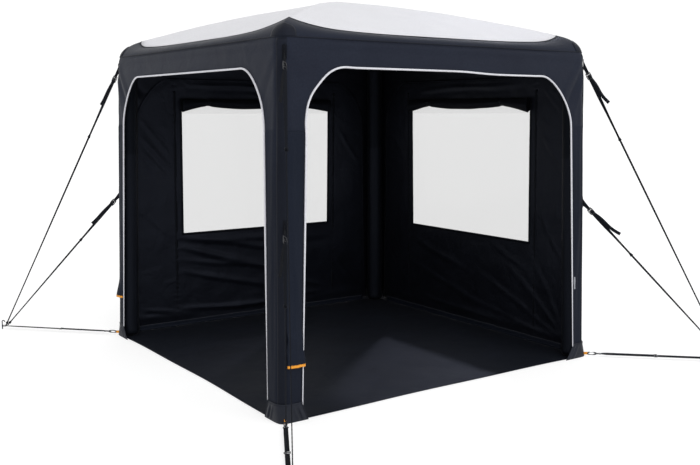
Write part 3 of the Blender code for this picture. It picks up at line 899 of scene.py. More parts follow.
def eaves_path(side, z_shift):
    """Points along the eaves of a side, on the cloth."""
    z = EAVES + z_shift
    return on_cover([on_face(r * developed(z), z) for r in even(-1, 1, EDGE_CELLS)], side, 0.0002)


def roof_edge(side, t, lift):
    """Points beside the edge of the light roof: a share t of the way down the border, lifted off it."""
    up = Vector((0, 0, lift))
    return turned([border_point(r, 1.0).lerp(border_point(r, 0.6), t) + up
                   for r in even(-1, 1, EDGE_CELLS)], side)


skin = new_skin()
for side in range(4):
    tube(skin, roof_edge(side, 0.0, 0.0012), 0.0026, 8, flat=0.7)
own(mesh_piece("roof_edge_binding", skin, band_oxford), "outer_fabric")

skin = new_skin()
seam_rows = []
for side in range(4):
    tube(skin, eaves_path(side, 0.0), 0.0034, 8, flat=0.8)
    rows = []
    for i in range(15):
        share = i / 14
        half = PATCH_HALF * math.sqrt(max(0.0, 1 - share ** 2.4)) + 0.004
        row = []
        for j in range(15):
            c = half * (-1 + j / 7)
            p = border_point(-1 + abs(c) / developed(EAVES), 0.010 + 0.56 * share)
            p = quarter(side) @ past_corner(p, c)
            out = Vector((p.x, p.y, 0)).normalized() * 0.8 + Vector((0, 0, 0.6))
            row.append((p + out * (max(relief(p), 0.0) + 0.0014), (j * 0.010, i * 0.010)))
        rows.append(row)
    grid(skin, rows)
    seam_rows.append([row[1][0] for row in rows] + [row[-2][0] for row in reversed(rows)])
own(thicken(mesh_piece("eaves_welt_and_patches", skin, band_oxford), 0.0010, offset=0.0), "outer_fabric")
seam_rows += [eaves_path(side, shift) for side in range(4) for shift in (-0.011, -0.005)]
seam_rows += [roof_edge(side, 0.10, 0.0015) for side in range(4)]
row_along("eaves_stitching", "outer_fabric", seam_rows)


# LEG FLAPS
# At the left end of every side a flap of cover cloth hangs from the cross seam of the leg and hides
# the zip behind it. Its lower edge is bound with orange tape and stands off the leg.
FLAP_HANG = ((0.022, 0.004), (0.0, 0.002), (0.0, 0.006), (0.0, 0.023))   # reach over the piping, stand-off
FLAP_TOP = 1.546
FLAP_LOW = 0.300
FLAP_ROWS, FLAP_CELLS = 100, 13
FLAP_SEAM = 1.22        # length of the two upright lines of stitching
TAPE_HIGH = 0.015

flap_oxford = woven_cloth("coated_flap_oxford", "#1B1F29", "#151922", 0.58, shine=0.07)
orange_tape = woven_cloth("orange_woven_tape", "#F0A43E", "#D98E2C", 0.6, sheen=0.1, crease=0.0006,
                          pitch=0.002)


def flap_point(side, share, z, extra=0.0):
    """Point of a flap: share runs from the corner band (0) to the piping (1)."""
    low = 1 - smooth(0.32, 0.50, z)
    reach, stand = FLAP_HANG[side]
    far_edge = leg_edge(z) + 0.010 - reach * low
    u = -(developed(z) - BAND_HALF + 0.001) + share * (developed(z) - BAND_HALF - far_edge)
    p = quarter(side) @ on_face(u, z)
    flare = (1 - smooth(FLAP_LOW - 0.02, FLAP_LOW + 0.15, z)) * (0.004 + stand * (1 - share) ** 0.8)
    flare += 0.007 * low * smooth(0.70, 0.95, share) * (reach > 0)
    belly = 0.005 * math.sin(math.pi * share) * (1 - smooth(0.30, 0.75, z))
    if side == 0:
        belly += 0.0120 * bump_at(z, 0.452, 0.030) - 0.0040 * bump_at(z, 0.392, 0.012)
    soft = 0.0018 * noise.noise((share * 2.5 + side * 9, z * 6, 5.0))
    soft *= math.sin(math.pi * min(1.0, share * 1.05))
    lift = max(relief(p), 0.0) + 0.0024 + flare + belly + abs(soft) + extra
    return p + quarter(side) @ Vector((0, -1, 0)) * lift


def flap_grid(skin, side, levels, rise, extra=0.0, flip=False):
    """Append the part of a flap between some heights; rise is the step of its UVs up the cloth."""
    grid(skin, [[(flap_point(side, j / FLAP_CELLS, z, extra), (j * 0.0085, v)) for j in range(FLAP_CELLS + 1)]
                for z, v in zip(levels, rise)], flip)


flap_stitches = []
tapes = new_skin()
for side, name in enumerate(CORNERS):
    skin = new_skin()
    levels = even(FLAP_LOW, FLAP_TOP, FLAP_ROWS)
    flap_grid(skin, side, levels, levels)
    leg_flap = thicken(mesh_piece("leg_flap_" + name, skin, flap_oxford), TRIM_CLOTH)
    own(leg_flap, "outer_fabric")
    steps = even(0, TAPE_HIGH, 2)
    for lift, flip in ((0.0006, False), (-0.0022, True)):
        flap_grid(tapes, side, [FLAP_LOW - 0.001 + step for step in steps], steps, lift, flip)
    flap_stitches.append([flap_point(side, t, FLAP_LOW + TAPE_HIGH - 0.003, 0.0009) for t in even(0, 1, 40)])
    for share in (0.05, 0.94):
        flap_stitches.append([flap_point(side, share, FLAP_LOW + 0.02 + step, 0.0002)
                              for step in even(0, FLAP_SEAM, 100)])
own(thicken(mesh_piece("flap_hem_tapes", tapes, orange_tape), 0.0008, offset=0.0), "outer_fabric")
row_along("flap_stitching", "outer_fabric", flap_stitches)


# CARE TAG
# A short plain grey tag is caught in the piping seam low on the right leg. It is woven, and curls
# a little off the cloth.
TAG_LOW, TAG_LONG, TAG_WIDE = 0.477, 0.082, 0.016

tag_cloth = woven_cloth("plain_grey_tag_cloth", "#8E9096", "#7C7E84", 0.7, sheen=0.0, crease=0.0008,
                        pitch=0.0015)
skin = new_skin()
rows = []
for i in range(9):
    z = TAG_LOW + TAG_LONG * i / 8
    rows.append([(on_face(leg_edge(z) + 0.010 + TAG_WIDE * j / 3, z, 0.0045 + 0.0012 * math.sin(i * 0.9 + j)),
                  (j * 0.004, i * 0.01)) for j in range(4)])
grid(skin, rows)
own(thicken(mesh_piece("care_tag", skin, tag_cloth), 0.0008), "outer_fabric")


# BOOTS
# The foot of each leg is closed by a shell of heavy coated cloth, open towards the room. Along both
# faces it runs out into a stiff gusset at the ground. It is stitched twice to the leg and hemmed.
BOOT_TOP = 0.104
BOOT_SPREADS = {"near": (0.030, 0.040), "right": (0.066, 0.055), "far": (0.055, 0.055),
                "left": (0.055, 0.072)}     # reach of the two gussets along the ground
BOOT_CLOTH = 0.0024
GUSSET_TOP = 0.094

boot_canvas = woven_cloth("heavy_boot_canvas", "#191A1E", "#121316", 0.54, crease=0.004, pitch=0.0042,
                          weave=0.5, shine=0.28)


def boot_line(name, z, proud):
    """Plan of a boot at a height, from one gusset's edge round the corner to the other's."""
    a = face_at(z) + proud
    c = a - CORNER_R
    share = (1 - min(1.0, z / GUSSET_TOP)) ** 1.1
    first, last = (leg_edge(z) - spread * share for spread in BOOT_SPREADS[name])
    line = [(-a, -first - (c - first) * k / 14) for k in range(14)]
    for k in range(15):
        angle = math.radians(180 + 90 * k / 14)
        point = CORNER_R + 0.012 * share * math.sin(math.pi * k / 14) ** 3
        line.append((-c + point * math.cos(angle), -c + point * math.sin(angle)))
    line += [(-last - (c - last) * k / 14, -a) for k in range(13, -1, -1)]
    return [Vector((x, y, z)) for x, y in line]


def boot_fold(reach, z):
    """Height of the two soft upright folds beside a gusset's edge."""
    ridge = 0.0085 * bump_at(reach, 0.022, 0.009) - 0.0040 * bump_at(reach, 0.037, 0.006)
    ridge += 0.0075 * bump_at(reach, 0.054, 0.009)
    return ridge * (1 - smooth(0.050, 0.100, z)) * smooth(0.0, 0.012, z)


boot_stitches = []
levels = [(0.0010, 0.0020)] + [(0.005 + 0.085 * k / 14, 0.0052 - 0.0016 * k / 14) for k in range(15)]
levels += [(0.097, 0.0036), (BOOT_TOP - 0.001, 0.0034), (BOOT_TOP, 0.0026)]
for side, name in enumerate(CORNERS):
    rows = []
    for z, proud in levels:
        plan = boot_line(name, z, proud)
        runs, row = lengths(plan), []
        for p, run in zip(turned(plan, side), runs):
            out = Vector((p.x, p.y, 0)).normalized()
            soft = 0.0018 * noise.noise((p.x * 16, p.y * 16, p.z * 10 + side)) * smooth(0.0, 0.02, z)
            row.append((p + out * (soft + boot_fold(run, z) + boot_fold(runs[-1] - run, z)), (run, z)))
        rows.append(row)
    shell, hem = new_skin(), new_skin()
    grid(shell, rows)
    tube(hem, [p + Vector((0, 0, 0.0022)) for p, uv in rows[0]], 0.0032, 8)
    for end in (0, -1):
        tube(hem, [row[end][0] for row in rows], 0.0024, 8)
    own(thicken(mesh_piece("boot_" + name, shell, boot_canvas, weld=WELD), BOOT_CLOTH), "foot_fabric",
        "foot_" + name)
    own(mesh_piece("boot_hem_" + name, hem, boot_canvas), "foot_fabric")
    for z in (0.092, 0.099):
        boot_stitches.append(resample(turned(boot_line(name, z, 0.0048), side), 60))
row_along("boot_stitching", "foot_fabric", boot_stitches, 0.0085, (0.0014, 0.0014, 0.006))


# AIR BEAMS
# Each beam is an inflated bladder in a welded woven sleeve, about 125 mm thick. It runs up the leg,
# bends at the eaves, and follows the hip to the crown. The lower sleeve is doubled up to shoulder
# height, and small wrinkles gather on the inside of the bend.
BEAM_RADIUS = 0.0622
BEAM_SINK = 0.0794      # the beam's middle line lies this far under the hip
BEAM_RINGS, BEAM_CELLS = 330, 28
SLEEVE_TOP = 1.338
# Where a beam turns in under the hip: distance along each side, and drop below its line there
BEAM_TURN = ((1.074, 0.028), (1.035, 0.006), (0.975, 0.0), (0.80, 0.0), (0.55, 0.0), (0.30, 0.0))

sleeve_cloth = woven_cloth("black_beam_sleeve", "#080A0E", "#05070A", 0.58, crease=0.003)
sleeve_double = woven_cloth("doubled_beam_sleeve", "#0B0D13", "#07090D", 0.54, crease=0.003, shine=0.13)


def beam_path():
    """Points of a beam's middle line on the diagonal, as distance along each side and height."""
    spot = face_at(0.14) - CORNER_R
    points = [(spot, 0.009), (spot, 0.04), (spot, 0.14)]
    points += [(face_at(z) - CORNER_R, z) for z in (0.60, 1.20, 1.70, 1.84)]
    points += [(d, hip_height(d) - BEAM_SINK - drop) for d, drop in BEAM_TURN]
    crown = hip_height(0.15) - BEAM_SINK - 0.004
    points += [(0.15, crown), (0.066, crown)]
    for _ in range(3):
        cut = [points[0]]
        for (d0, z0), (d1, z1) in zip(points, points[1:]):
            cut.append((d0 * 0.75 + d1 * 0.25, z0 * 0.75 + z1 * 0.25))
            cut.append((d0 * 0.25 + d1 * 0.75, z0 * 0.25 + z1 * 0.75))
        points = cut + [points[-1]]
    return points


def beam_radius(side, p, run, angle, bend):
    """Radius of a beam at a point of its middle line, at an angle round it."""
    soft = 0.0011 * noise.noise((math.cos(angle) * 1.6 + side * 5, math.sin(angle) * 1.6, run * 4.5))
    wrinkle = math.sin(run * 260 + 2 * noise.noise((angle, run * 9, side)))
    gather = bend * 0.0026 * wrinkle * max(0.0, math.sin(angle))
    double = 0.0013 * (1 - smooth(SLEEVE_TOP - 0.004, SLEEVE_TOP, p.z))
    zip_lip = 0.0012 * bump_at(angle, 1.9, 0.10)
    foot = 0.0030 * bump_at(p.z, 0.045, 0.03) - 0.024 * max(0.0, 1 - p.z / 0.034) ** 2
    return BEAM_RADIUS + soft - abs(gather) + double + zip_lip + foot


beam_rows = []
for side, name in enumerate(CORNERS):
    path = resample(turned([(-d, -d, z) for d, z in beam_path()], side), BEAM_RINGS)
    runs = lengths(path)
    rows = []
    for k, (ahead, across, lift) in enumerate(frames(path, quarter(side) @ Vector((0.7071, 0.7071, 0)))):
        p, row = path[k], []
        bend = bump_at(p.z, 2.02, 0.16) if k < BEAM_RINGS * 0.62 else 0.0
        for m in range(BEAM_CELLS + 1):
            angle = 2 * math.pi * m / BEAM_CELLS
            radius = beam_radius(side, p, runs[k], angle, bend)
            row.append((p + across * radius * math.cos(angle) + lift * radius * math.sin(angle),
                        (BEAM_RADIUS * angle, runs[k])))
        rows.append(row)
    skin = new_skin()
    grid(skin, rows)
    beam = mesh_piece("beam_" + name, skin, sleeve_cloth, sleeve_double, weld=WELD)
    for polygon in beam.data.polygons:
        if polygon.center.z < SLEEVE_TOP:
            polygon.material_index = 1
    bm = bmesh.new()
    bm.from_mesh(beam.data)
    bmesh.ops.holes_fill(bm, edges=[e for e in bm.edges if e.is_boundary], sides=0)
    bmesh.ops.recalc_face_normals(bm, faces=bm.faces)
    bm.to_mesh(beam.data)
    bm.free()
    own(beam, "beam_fabric", "air_beam_" + name)
    beam_rows += [[row[m][0] for row in rows[8:300]] for m in (8, 9)]
row_along("sleeve_stitching", "beam_fabric", beam_rows, 0.008, (0.0012, 0.0012, 0.0055))


# CROWN HUB
# A moulded nylon boss joins the four beams under the middle of the roof: an eight-sided body with a
# rounded rim, a ribbed collar round each beam and a screwed cover plate below.
HUB_BELOW = ((0.30, 0.002), (0.62, 0.0), (0.70, 0.004), (0.90, 0.006), (0.97, 0.014), (1.0, 0.026))
HUB_ABOVE = ((1.0, 0.020), (0.97, 0.010), (0.88, 0.004), (0.40, 0.001))    # share of the radius, inset
HUB_CELLS = 48

hub_low, hub_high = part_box("crown_hub")


def hard_finish(name, dark, pale, patch, gloss, grain, depth, sockets, by_uv=False):
    """Smooth hard material: patches of shade and gloss, and a fine grain in the bump.

    patch and grain are the scale, detail and distortion of their noise, depth the bump's strength
    and height.
    """
    mat, tree = new_material(name)
    if by_uv:
        where = add(tree, "ShaderNodeUVMap", uv_map="cloth").outputs["UV"]
    else:
        where = add(tree, "ShaderNodeTexCoord").outputs["Object"]
    grit, shade = (add(tree, "ShaderNodeTexNoise", {"Vector": where, "Scale": scale, "Detail": detail,
                                                    "Distortion": bent}).outputs["Fac"]
                   for scale, detail, bent in (grain, patch))
    shine = add(tree, "ShaderNodeMapRange", {"Value": shade, "To Min": gloss[0], "To Max": gloss[1]})
    tint = add(tree, "ShaderNodeMix", {"Factor": shade, "A": linear(dark), "B": linear(pale)},
               data_type="RGBA")
    bump = add(tree, "ShaderNodeBump", {"Height": grit, "Strength": depth[0], "Distance": depth[1]})
    return finish_material(mat, tree, {"Base Color": tint.outputs["Result"], "Roughness": shine.outputs[0],
                                       "Normal": bump.outputs[0], **sockets})


def cap(skin, ring, flip=False):
    """Close the end of a shell with one face over a ring of points."""
    points, faces, corners = skin
    face = tuple(range(len(points), len(points) + len(ring)))
    points.extend(ring)
    faces.append(face[::-1] if flip else face)
    corners.append([(0, 0)] * len(ring))


# black moulded nylon, IOR 1.53: satin, with a fine spark-eroded grain
moulded_nylon = hard_finish("moulded_black_nylon", "#1A1B1E", "#26272B", (25.0, 3.0, 0.0), (0.38, 0.52),
                            (900.0, 2.0, 0.0), (0.25, 0.0004), {"IOR": 1.53})
skin = new_skin()
rows = []
profile = [(share, hub_low.z + up) for share, up in HUB_BELOW]
profile += [(share, hub_high.z - down) for share, down in HUB_ABOVE]
for share, z in profile:
    row = []
    for m in range(HUB_CELLS):
        angle = 2 * math.pi * m / HUB_CELLS
        reach = (hub_high.x - 0.002) * share * (1 - 0.045 * math.sin(angle * 4) ** 2)
        row.append((Vector((reach * math.cos(angle), reach * math.sin(angle), z)), (m * 0.012, z)))
    rows.append(row + [(row[0][0], (HUB_CELLS * 0.012, z))])
grid(skin, rows)
cap(skin, [p for p, uv in rows[0][:-1]], flip=True)
cap(skin, [p for p, uv in rows[-1][:-1]])
crown = beam_path()[-1][1]
for side in range(4):
    for d in (0.070, 0.082, 0.094):
        tube(skin, turned([(-d, -d, crown), (-d - 0.005, -d - 0.005, crown)], side), BEAM_RADIUS + 0.0022, 28)
for m in range(8):
    angle = math.radians(22.5 + 45 * m)
    tube(skin, [(0.052 * math.cos(angle), 0.052 * math.sin(angle), hub_low.z + up)
                for up in (0.006, -0.0015, -0.0025)], [0.0045, 0.0045, 0.0035], 12, up=(1, 0, 0))
own(mesh_piece("crown_boss", skin, moulded_nylon, weld=WELD), "hub_plastic", "crown_hub")


# WALL PANELS
# Each wall is one panel of thin black polyester that zips into the doorway arch. Its middle, with
# the window, is set between two upright puckered seams. It hangs slack enough to crease.
WALL_LOW = 0.016
WALL_TOP = 1.893
WALL_LAP = 0.014
WALL_CLOTH = 0.0007
WINDOW_HALF = 0.659
WINDOW_LOW = 0.721
WINDOW_HIGH = 1.702
SEAM_X = 0.716
SEAM_LOW, SEAM_HIGH = 0.03, 1.80
CROSS_SEAMS = {"right": 0.995, "back": 1.157}
TAPE_HALF, FRAME_HALF = 0.011, 0.009
WALLS = {"right": 1, "back": 2}

wall_cloth = woven_cloth("thin_black_wall_polyester", "#0B0D13", "#07080D", 0.43, crease=0.010, shine=0.17)
wall_outside = woven_cloth("coated_wall_oxford", "#20242F", "#191C26", 0.60, crease=0.005, shine=0.08)
wall_tape = woven_cloth("black_seam_tape", "#0B0C0F", "#07080A", 0.6, sheen=0.0, crease=0.001)
coil_zip = woven_cloth("black_coil_zip", "#0F1013", "#0A0B0D", 0.45, sheen=0.0, crease=0.0004, pitch=0.0016)

# Creases seen from inside, as (left to right, height) from one point to another, rise and width
CREASES = {
    "back": [((-0.70, 0.70), (0.30, 0.52), 0.013, 0.030), ((-0.70, 0.62), (0.10, 0.40), 0.012, 0.030),
             ((-0.70, 0.52), (0.45, 0.34), 0.011, 0.028), ((-0.68, 0.42), (0.20, 0.20), 0.009, 0.026),
             ((-0.40, 0.66), (0.66, 0.60), 0.008, 0.024), ((0.10, 0.30), (0.70, 0.16), 0.008, 0.022),
             ((-0.70, 0.12), (0.40, 0.075), 0.010, 0.018), ((0.00, 0.10), (0.72, 0.14), 0.008, 0.018),
             ((-1.02, 1.62), (-0.74, 1.30), 0.006, 0.016), ((-1.02, 1.48), (-0.74, 1.20), 0.007, 0.016),
             ((-1.00, 1.36), (-0.76, 1.14), 0.005, 0.014), ((-1.02, 0.92), (-0.76, 0.70), 0.004, 0.016),
             ((-1.00, 0.16), (-0.74, 0.11), 0.006, 0.014), ((-0.60, 1.84), (0.60, 1.80), 0.007, 0.018),
             ((0.74, 1.50), (1.00, 1.20), 0.005, 0.016), ((0.74, 0.40), (1.02, 0.10), 0.007, 0.018)],
    "right": [((1.02, 0.06), (0.10, 0.46), 0.0046, 0.024), ((1.03, 0.07), (0.40, 0.60), 0.0042, 0.024),
              ((1.02, 0.05), (-0.05, 0.22), 0.0042, 0.020), ((1.03, 0.08), (0.66, 0.66), 0.0032, 0.022),
              ((-0.66, 0.60), (0.10, 0.40), 0.0054, 0.028), ((-0.70, 0.40), (0.20, 0.16), 0.0060, 0.026),
              ((-0.70, 0.13), (0.50, 0.075), 0.0060, 0.018), ((0.30, 0.66), (0.64, 0.52), 0.0036, 0.020),
              ((0.76, 1.50), (1.00, 1.22), 0.0030, 0.016), ((0.76, 0.94), (1.00, 0.60), 0.0030, 0.018),
              ((-1.00, 0.50), (-0.74, 0.20), 0.0036, 0.018), ((-0.60, 1.80), (0.60, 1.84), 0.0042, 0.018),
              ((-0.98, 1.50), (-0.76, 1.25), 0.0030, 0.016), ((0.78, 1.82), (0.98, 1.62), 0.0024, 0.014)],
}


def wall_depth(name, x, z):
    """How far the wall cloth lies inside the cover's face at a point (x seen from outside)."""
    lateral = -x
    edge = arch_tree.find((x, z, 0))[2]
    height = 0.0
    bent_x = lateral + 0.030 * noise.noise((lateral * 3, z * 3, 2.0 if name == "back" else 12.0))
    bent_z = z + 0.020 * noise.noise((lateral * 2.4, z * 3, 22.0))
    for start, finish, rise, width in CREASES[name]:
        off, share = near_line(bent_x, bent_z, start, finish)
        if -0.1 < share < 1.1:
            taper = smooth(-0.1, 0.25, share) * (1 - smooth(0.6, 1.1, share))
            height += rise * taper * (bump_at(off, 0, width) - 0.55 * bump_at(off, 1.5 * width, 1.2 * width))
    height += 0.0045 * noise.noise((lateral * 3.2, z * 3.2, 31.0))
    height += 0.0018 * noise.noise((lateral * 9, z * 9, 35.0))
    for seam in (-SEAM_X, SEAM_X):
        pucker = math.sin(z * 150 + 5 * noise.noise((z * 6, seam, 0.5))) * bump_at(lateral, seam, 0.020)
        height += 0.0018 * pucker - 0.0030 * bump_at(lateral, seam, 0.006)
    low = 0.008 * bump_at(z, 0.095, 0.030) * (0.6 + 0.5 * noise.noise((lateral * 4, 1.0, 40.0)))
    height = (height + low) * smooth(0.0, 0.05, edge) * smooth(WALL_LOW, WALL_LOW + 0.05, z)
    if abs(x) < WINDOW_HALF + 0.05 and WINDOW_LOW - 0.05 < z < WINDOW_HIGH + 0.05:
        out = max(abs(x) - WINDOW_HALF, WINDOW_LOW - z, z - WINDOW_HIGH, 0.0)
        height *= 0.3 + 0.7 * smooth(0.0, 0.05, out)
    return 0.0048 + max(height, -0.0012)


def wall_point(name, x, z, extra=0.0):
    return quarter(WALLS[name]) @ Vector((x, -face_at(z) + wall_depth(name, x, z) + extra, z))


def wall_half(z):
    """Half width of a wall panel at a height: it laps behind the doorway's edge, under the zip."""
    z -= WALL_LAP * 0.7
    if z <= SPRING:
        return leg_edge(z) + WALL_LAP
    bend = arch_bend(80)
    for (x0, z0), (x1, z1) in zip(bend, bend[1:]):
        if z <= z1:
            return x0 + (x1 - x0) * (z - z0) / max(z1 - z0, 1e-9) + WALL_LAP * 0.8
    return ARCH_FLAT + WALL_LAP * 0.8


def wall_panel(name):
    skin = new_skin()
    below = even(WALL_LOW, WINDOW_LOW, 56)[:-1]
    beside = even(WINDOW_LOW, WINDOW_HIGH, 62)[:-1]
    above = even(WINDOW_HIGH, WALL_TOP, 22)
    across = even(-WINDOW_HALF, WINDOW_HALF, 96)
    for sign in (-1, 1):
        rows = []
        for z in below + beside + above:
            xs = [sign * x for x in even(WINDOW_HALF, wall_half(z), 26)]
            rows.append([(wall_point(name, x, z), (x, z)) for x in xs])
        grid(skin, rows, flip=sign < 0)
    for levels in (below + beside[:1], above):
        grid(skin, [[(wall_point(name, x, z), (x, z)) for x in across] for z in levels])
    return thicken(mesh_piece(name + "_wall_cloth", skin, wall_outside, wall_cloth, weld=WELD), WALL_CLOTH,
                   inner=1)


def strip_along(skin, path, wide, across):
    """Append a flat strip along a path, reaching wide to both sides of it."""
    grid(skin, [[(p + across * wide * s, (wide * (1 + s), run)) for s in (-1, 0, 1)]
                for p, run in zip(path, lengths(path))])


def wall_line(name, start, finish, extra, step=0.012):
    """Points on a wall between two (x, z) places, lifted off it into the room."""
    a, b = Vector(start), Vector(finish)
    count = max(2, int((b - a).length / step))
    return [wall_point(name, start[0] + (finish[0] - start[0]) * k / count,
                       start[1] + (finish[1] - start[1]) * k / count, extra) for k in range(count + 1)]


wall_rows, wall_zips = [], []
tapes = new_skin()
for name, side in WALLS.items():
    own(wall_panel(name), "inner_fabric",
                       *[name + "_wall_" + part for part in ("lower", "strip_a", "strip_b", "header")])
    spin = quarter(side)
    level, upright = spin @ Vector((1, 0, 0)), Vector((0, 0, 1))
    for x in (-SEAM_X, SEAM_X):
        line = wall_line(name, (x, SEAM_LOW), (x, SEAM_HIGH), 0.0012)
        strip_along(tapes, line, TAPE_HALF, level)
        wall_zips.append([p + spin @ Vector((0, 0.0012, 0)) for p in line])
        for shift in (-0.008, 0.008):
            wall_rows.append(wall_line(name, (x + shift, SEAM_LOW), (x + shift, SEAM_HIGH), 0.0018))
    for low, high in ((-1.02, -SEAM_X - 0.012), (SEAM_X + 0.012, 1.02)):
        for z in (CROSS_SEAMS[name], CROSS_SEAMS[name] + 0.006):
            wall_rows.append(wall_line(name, (low, z), (high, z), 0.0012))
    half = WINDOW_HALF + 0.006
    edges = [((-half, z), (half, z), upright) for z in (WINDOW_LOW - 0.006, WINDOW_HIGH + 0.006)]
    edges += [((x, WINDOW_LOW - 0.014), (x, WINDOW_HIGH + 0.014), level) for x in (-half, half)]
    for start, finish, across in edges:
        strip_along(tapes, wall_line(name, start, finish, 0.0016), FRAME_HALF, across)
        wall_rows.append(wall_line(name, start, finish, 0.0024))
    wall_zips.append([spin @ (p + Vector((0, 0.0045, 0))) for p in doorway_path(0.12, -0.009)])
own(thicken(mesh_piece("wall_seam_tapes", tapes, wall_tape), 0.0006, offset=0.0), "inner_fabric")
row_along("wall_stitching", "inner_fabric", wall_rows, 0.008)
row_along("wall_zip_teeth", "inner_fabric", wall_zips, 0.0060, (0.0062, 0.0018, 0.0036), coil_zip, "blocks")


# WINDOWS
# A pane of clear soft PVC film, 0.5 mm thick, is sewn behind an opening in each wall and stands a
# little slack, so long shallow waves catch the light.
FILM_LAP = 0.009
FILM_THICK = 0.0005

# clear PVC film, IOR 1.53: glossy, faintly hazy from folding, with soft waves in the surface
film = hard_finish("clear_pvc_film", "#5A5C5E", "#66686A", (1.7, 4.0, 0.0), (0.10, 0.26), (2.6, 3.0, 0.8),
                   (0.5, 0.02), {"IOR": 1.53, "Alpha": 0.20}, by_uv=True)


def film_point(side, x, z):
    """Point of a window pane, x seen from outside: free of its seam it waves a little."""
    free = smooth(0, 0.08, WINDOW_HALF + FILM_LAP - abs(x))
    free *= smooth(0, 0.08, min(z - WINDOW_LOW, WINDOW_HIGH - z) + FILM_LAP)
    wave = 0.0040 * noise.noise((x * 2.2, z * 2.2, side * 3.0)) + 0.0012 * noise.noise((x * 6, z * 5, 9.0))
    return quarter(side) @ Vector((x, -face_at(z) + 0.0042 + max(free * wave, -0.0025), z))


for name, side in WALLS.items():
    skin = new_skin()
    rows = []
    for z in even(WINDOW_LOW - FILM_LAP, WINDOW_HIGH + FILM_LAP, 44):
        row = [film_point(side, (WINDOW_HALF + FILM_LAP) * t, z) for t in even(-1, 1, 60)]
        rows.append([(p, (p.x + p.y, z)) for p in row])
    grid(skin, rows)
    pane = thicken(mesh_piece(name + "_window_film", skin, film), FILM_THICK)
    own(pane, "window_film", name + "_wall_window")


# ROLLED BLINDS
# The black blind of each window is rolled up above it and held by two webbing loops with toggles.
# Between the loops and at its ends the slack roll sags and scallops the top of the window.
TIES = {"back": (-0.45, 0.23), "right": (-0.41, 0.41)}
ROLL_TOP = 1.742
ROLL_LOW = 1.688        # underside of the roll at its loops; it sags below this
ROLL_HALF = 0.664
ROLL_DEEP = 0.0235
ROLL_ROWS, ROLL_CELLS = 110, 26
# The coiled end of the roll, as rings of (share of the radius, how far it stands out)
ROLL_END = ((1.0, 0.0), (0.86, 0.003), (0.72, -0.002), (0.56, 0.003), (0.40, -0.002), (0.22, 0.002),
            (0.04, 0.0))

blind_cloth = woven_cloth("rolled_black_blind", "#08090D", "#050609", 0.58)
loop_webbing = woven_cloth("black_loop_webbing", "#101115", "#0A0B0D", 0.62, crease=0.0006, pitch=0.0022)


def roll_low(name, x):
    """Height of the underside of a rolled blind, x seen from inside from left to right."""
    a, b = TIES[name]
    if a <= x <= b:
        return ROLL_LOW - 0.021 * max(0.0, math.sin(math.pi * (x - a) / (b - a))) ** 0.8
    past = (a - x) / (0.66 + a) if x < a else (x - b) / (0.66 - b)
    return ROLL_LOW - 0.043 * past ** 1.4


def roll_point(name, x, angle, grow=0.0):
    """Point of a rolled blind: x seen from inside, angle round the roll from the room's side."""
    side = WALLS[name]
    tie = sum(bump_at(x, t, 0.018) for t in TIES[name])
    low = roll_low(name, x)
    middle = (ROLL_TOP + low) / 2
    soft = 0.05 * math.cos(5 * angle + 3 * noise.noise((x * 3, side * 2.0, 0.0)))
    soft = 1 + soft * (1 - 0.6 * min(1.0, tie))
    soft += 0.06 * noise.noise((x * 9, math.cos(angle) * 1.5, math.sin(angle) * 1.5 + side))
    soft *= 1 - 0.16 * min(1.0, tie)
    z = middle + ((ROLL_TOP - low) / 2 * soft + grow) * math.sin(angle)
    y = -face_at(middle) + 0.008 + ROLL_DEEP + (ROLL_DEEP * soft + grow) * math.cos(angle)
    return quarter(side) @ Vector((-x, y, z))


for name, side in WALLS.items():
    roll, loops = new_skin(), new_skin()
    rows = []
    for x in even(-ROLL_HALF, ROLL_HALF, ROLL_ROWS):
        rows.append([(roll_point(name, x, 2 * math.pi * m / ROLL_CELLS), (m * 0.0065, x))
                     for m in range(ROLL_CELLS + 1)])
    grid(roll, rows)
    for end, flip in ((0, True), (-1, False)):
        rim = [p for p, uv in rows[end]]
        middle = sum(rim[:-1], Vector()) / ROLL_CELLS
        outwards = (rim[0] - rows[ROLL_ROWS // 2][0][0]).normalized()
        rings = []
        for k, (share, lift) in enumerate(ROLL_END):
            rings.append([(middle.lerp(p, share) + outwards * lift, (m * 0.0065, k * 0.004))
                          for m, p in enumerate(rim)])
        grid(roll, rings, flip)
        cap(roll, [p for p, uv in rings[-1][:-1]])
    own(mesh_piece(name + "_rolled_blind", roll, blind_cloth, weld=WELD), "inner_fabric",
        name + "_wall_blind")
    for x in TIES[name]:
        loop = [roll_point(name, x, angle, 0.0016) for angle in even(0, 2 * math.pi, 30)]
        tube(loops, loop, 0.0095, 8, up=loop[0] - sum(loop[:-1], Vector()) / 30, flat=0.14)
        knob = loop[1] + quarter(side) @ Vector((0, 0.006, 0))
        tube(loops, [knob + quarter(side) @ Vector((s, 0, 0))
                     for s in (-0.016, -0.014, -0.008, 0, 0.008, 0.014, 0.016)],
             [0.002, 0.0048, 0.0056, 0.0042, 0.0056, 0.0048, 0.002], 12)
    own(mesh_piece(name + "_blind_loops", loops, loop_webbing), "webbing")


# PEGS
# A hooked steel peg, 8 mm thick and blackened, is driven in at the end of each corner's gear and
# holds a welded steel ring. Only the part above the ground shows.
PEG_PLACES = {"near": (-1.63, -2.01), "right": (1.851, -1.851), "far": (1.63, 2.01), "left": (-1.851, 1.851)}
PEG_R = 0.004
RING_R = 0.018
WIRE_R = 0.0028
RING_Z = 0.026
# The peg's middle line, as (outwards, up) from where it enters the ground
SHANK = ((0.0, 0.0), (0.0, 0.040), (0.0, 0.050), (0.001, 0.057), (-0.002, 0.063), (-0.008, 0.067),
         (-0.015, 0.066), (-0.021, 0.061), (-0.023, 0.055))

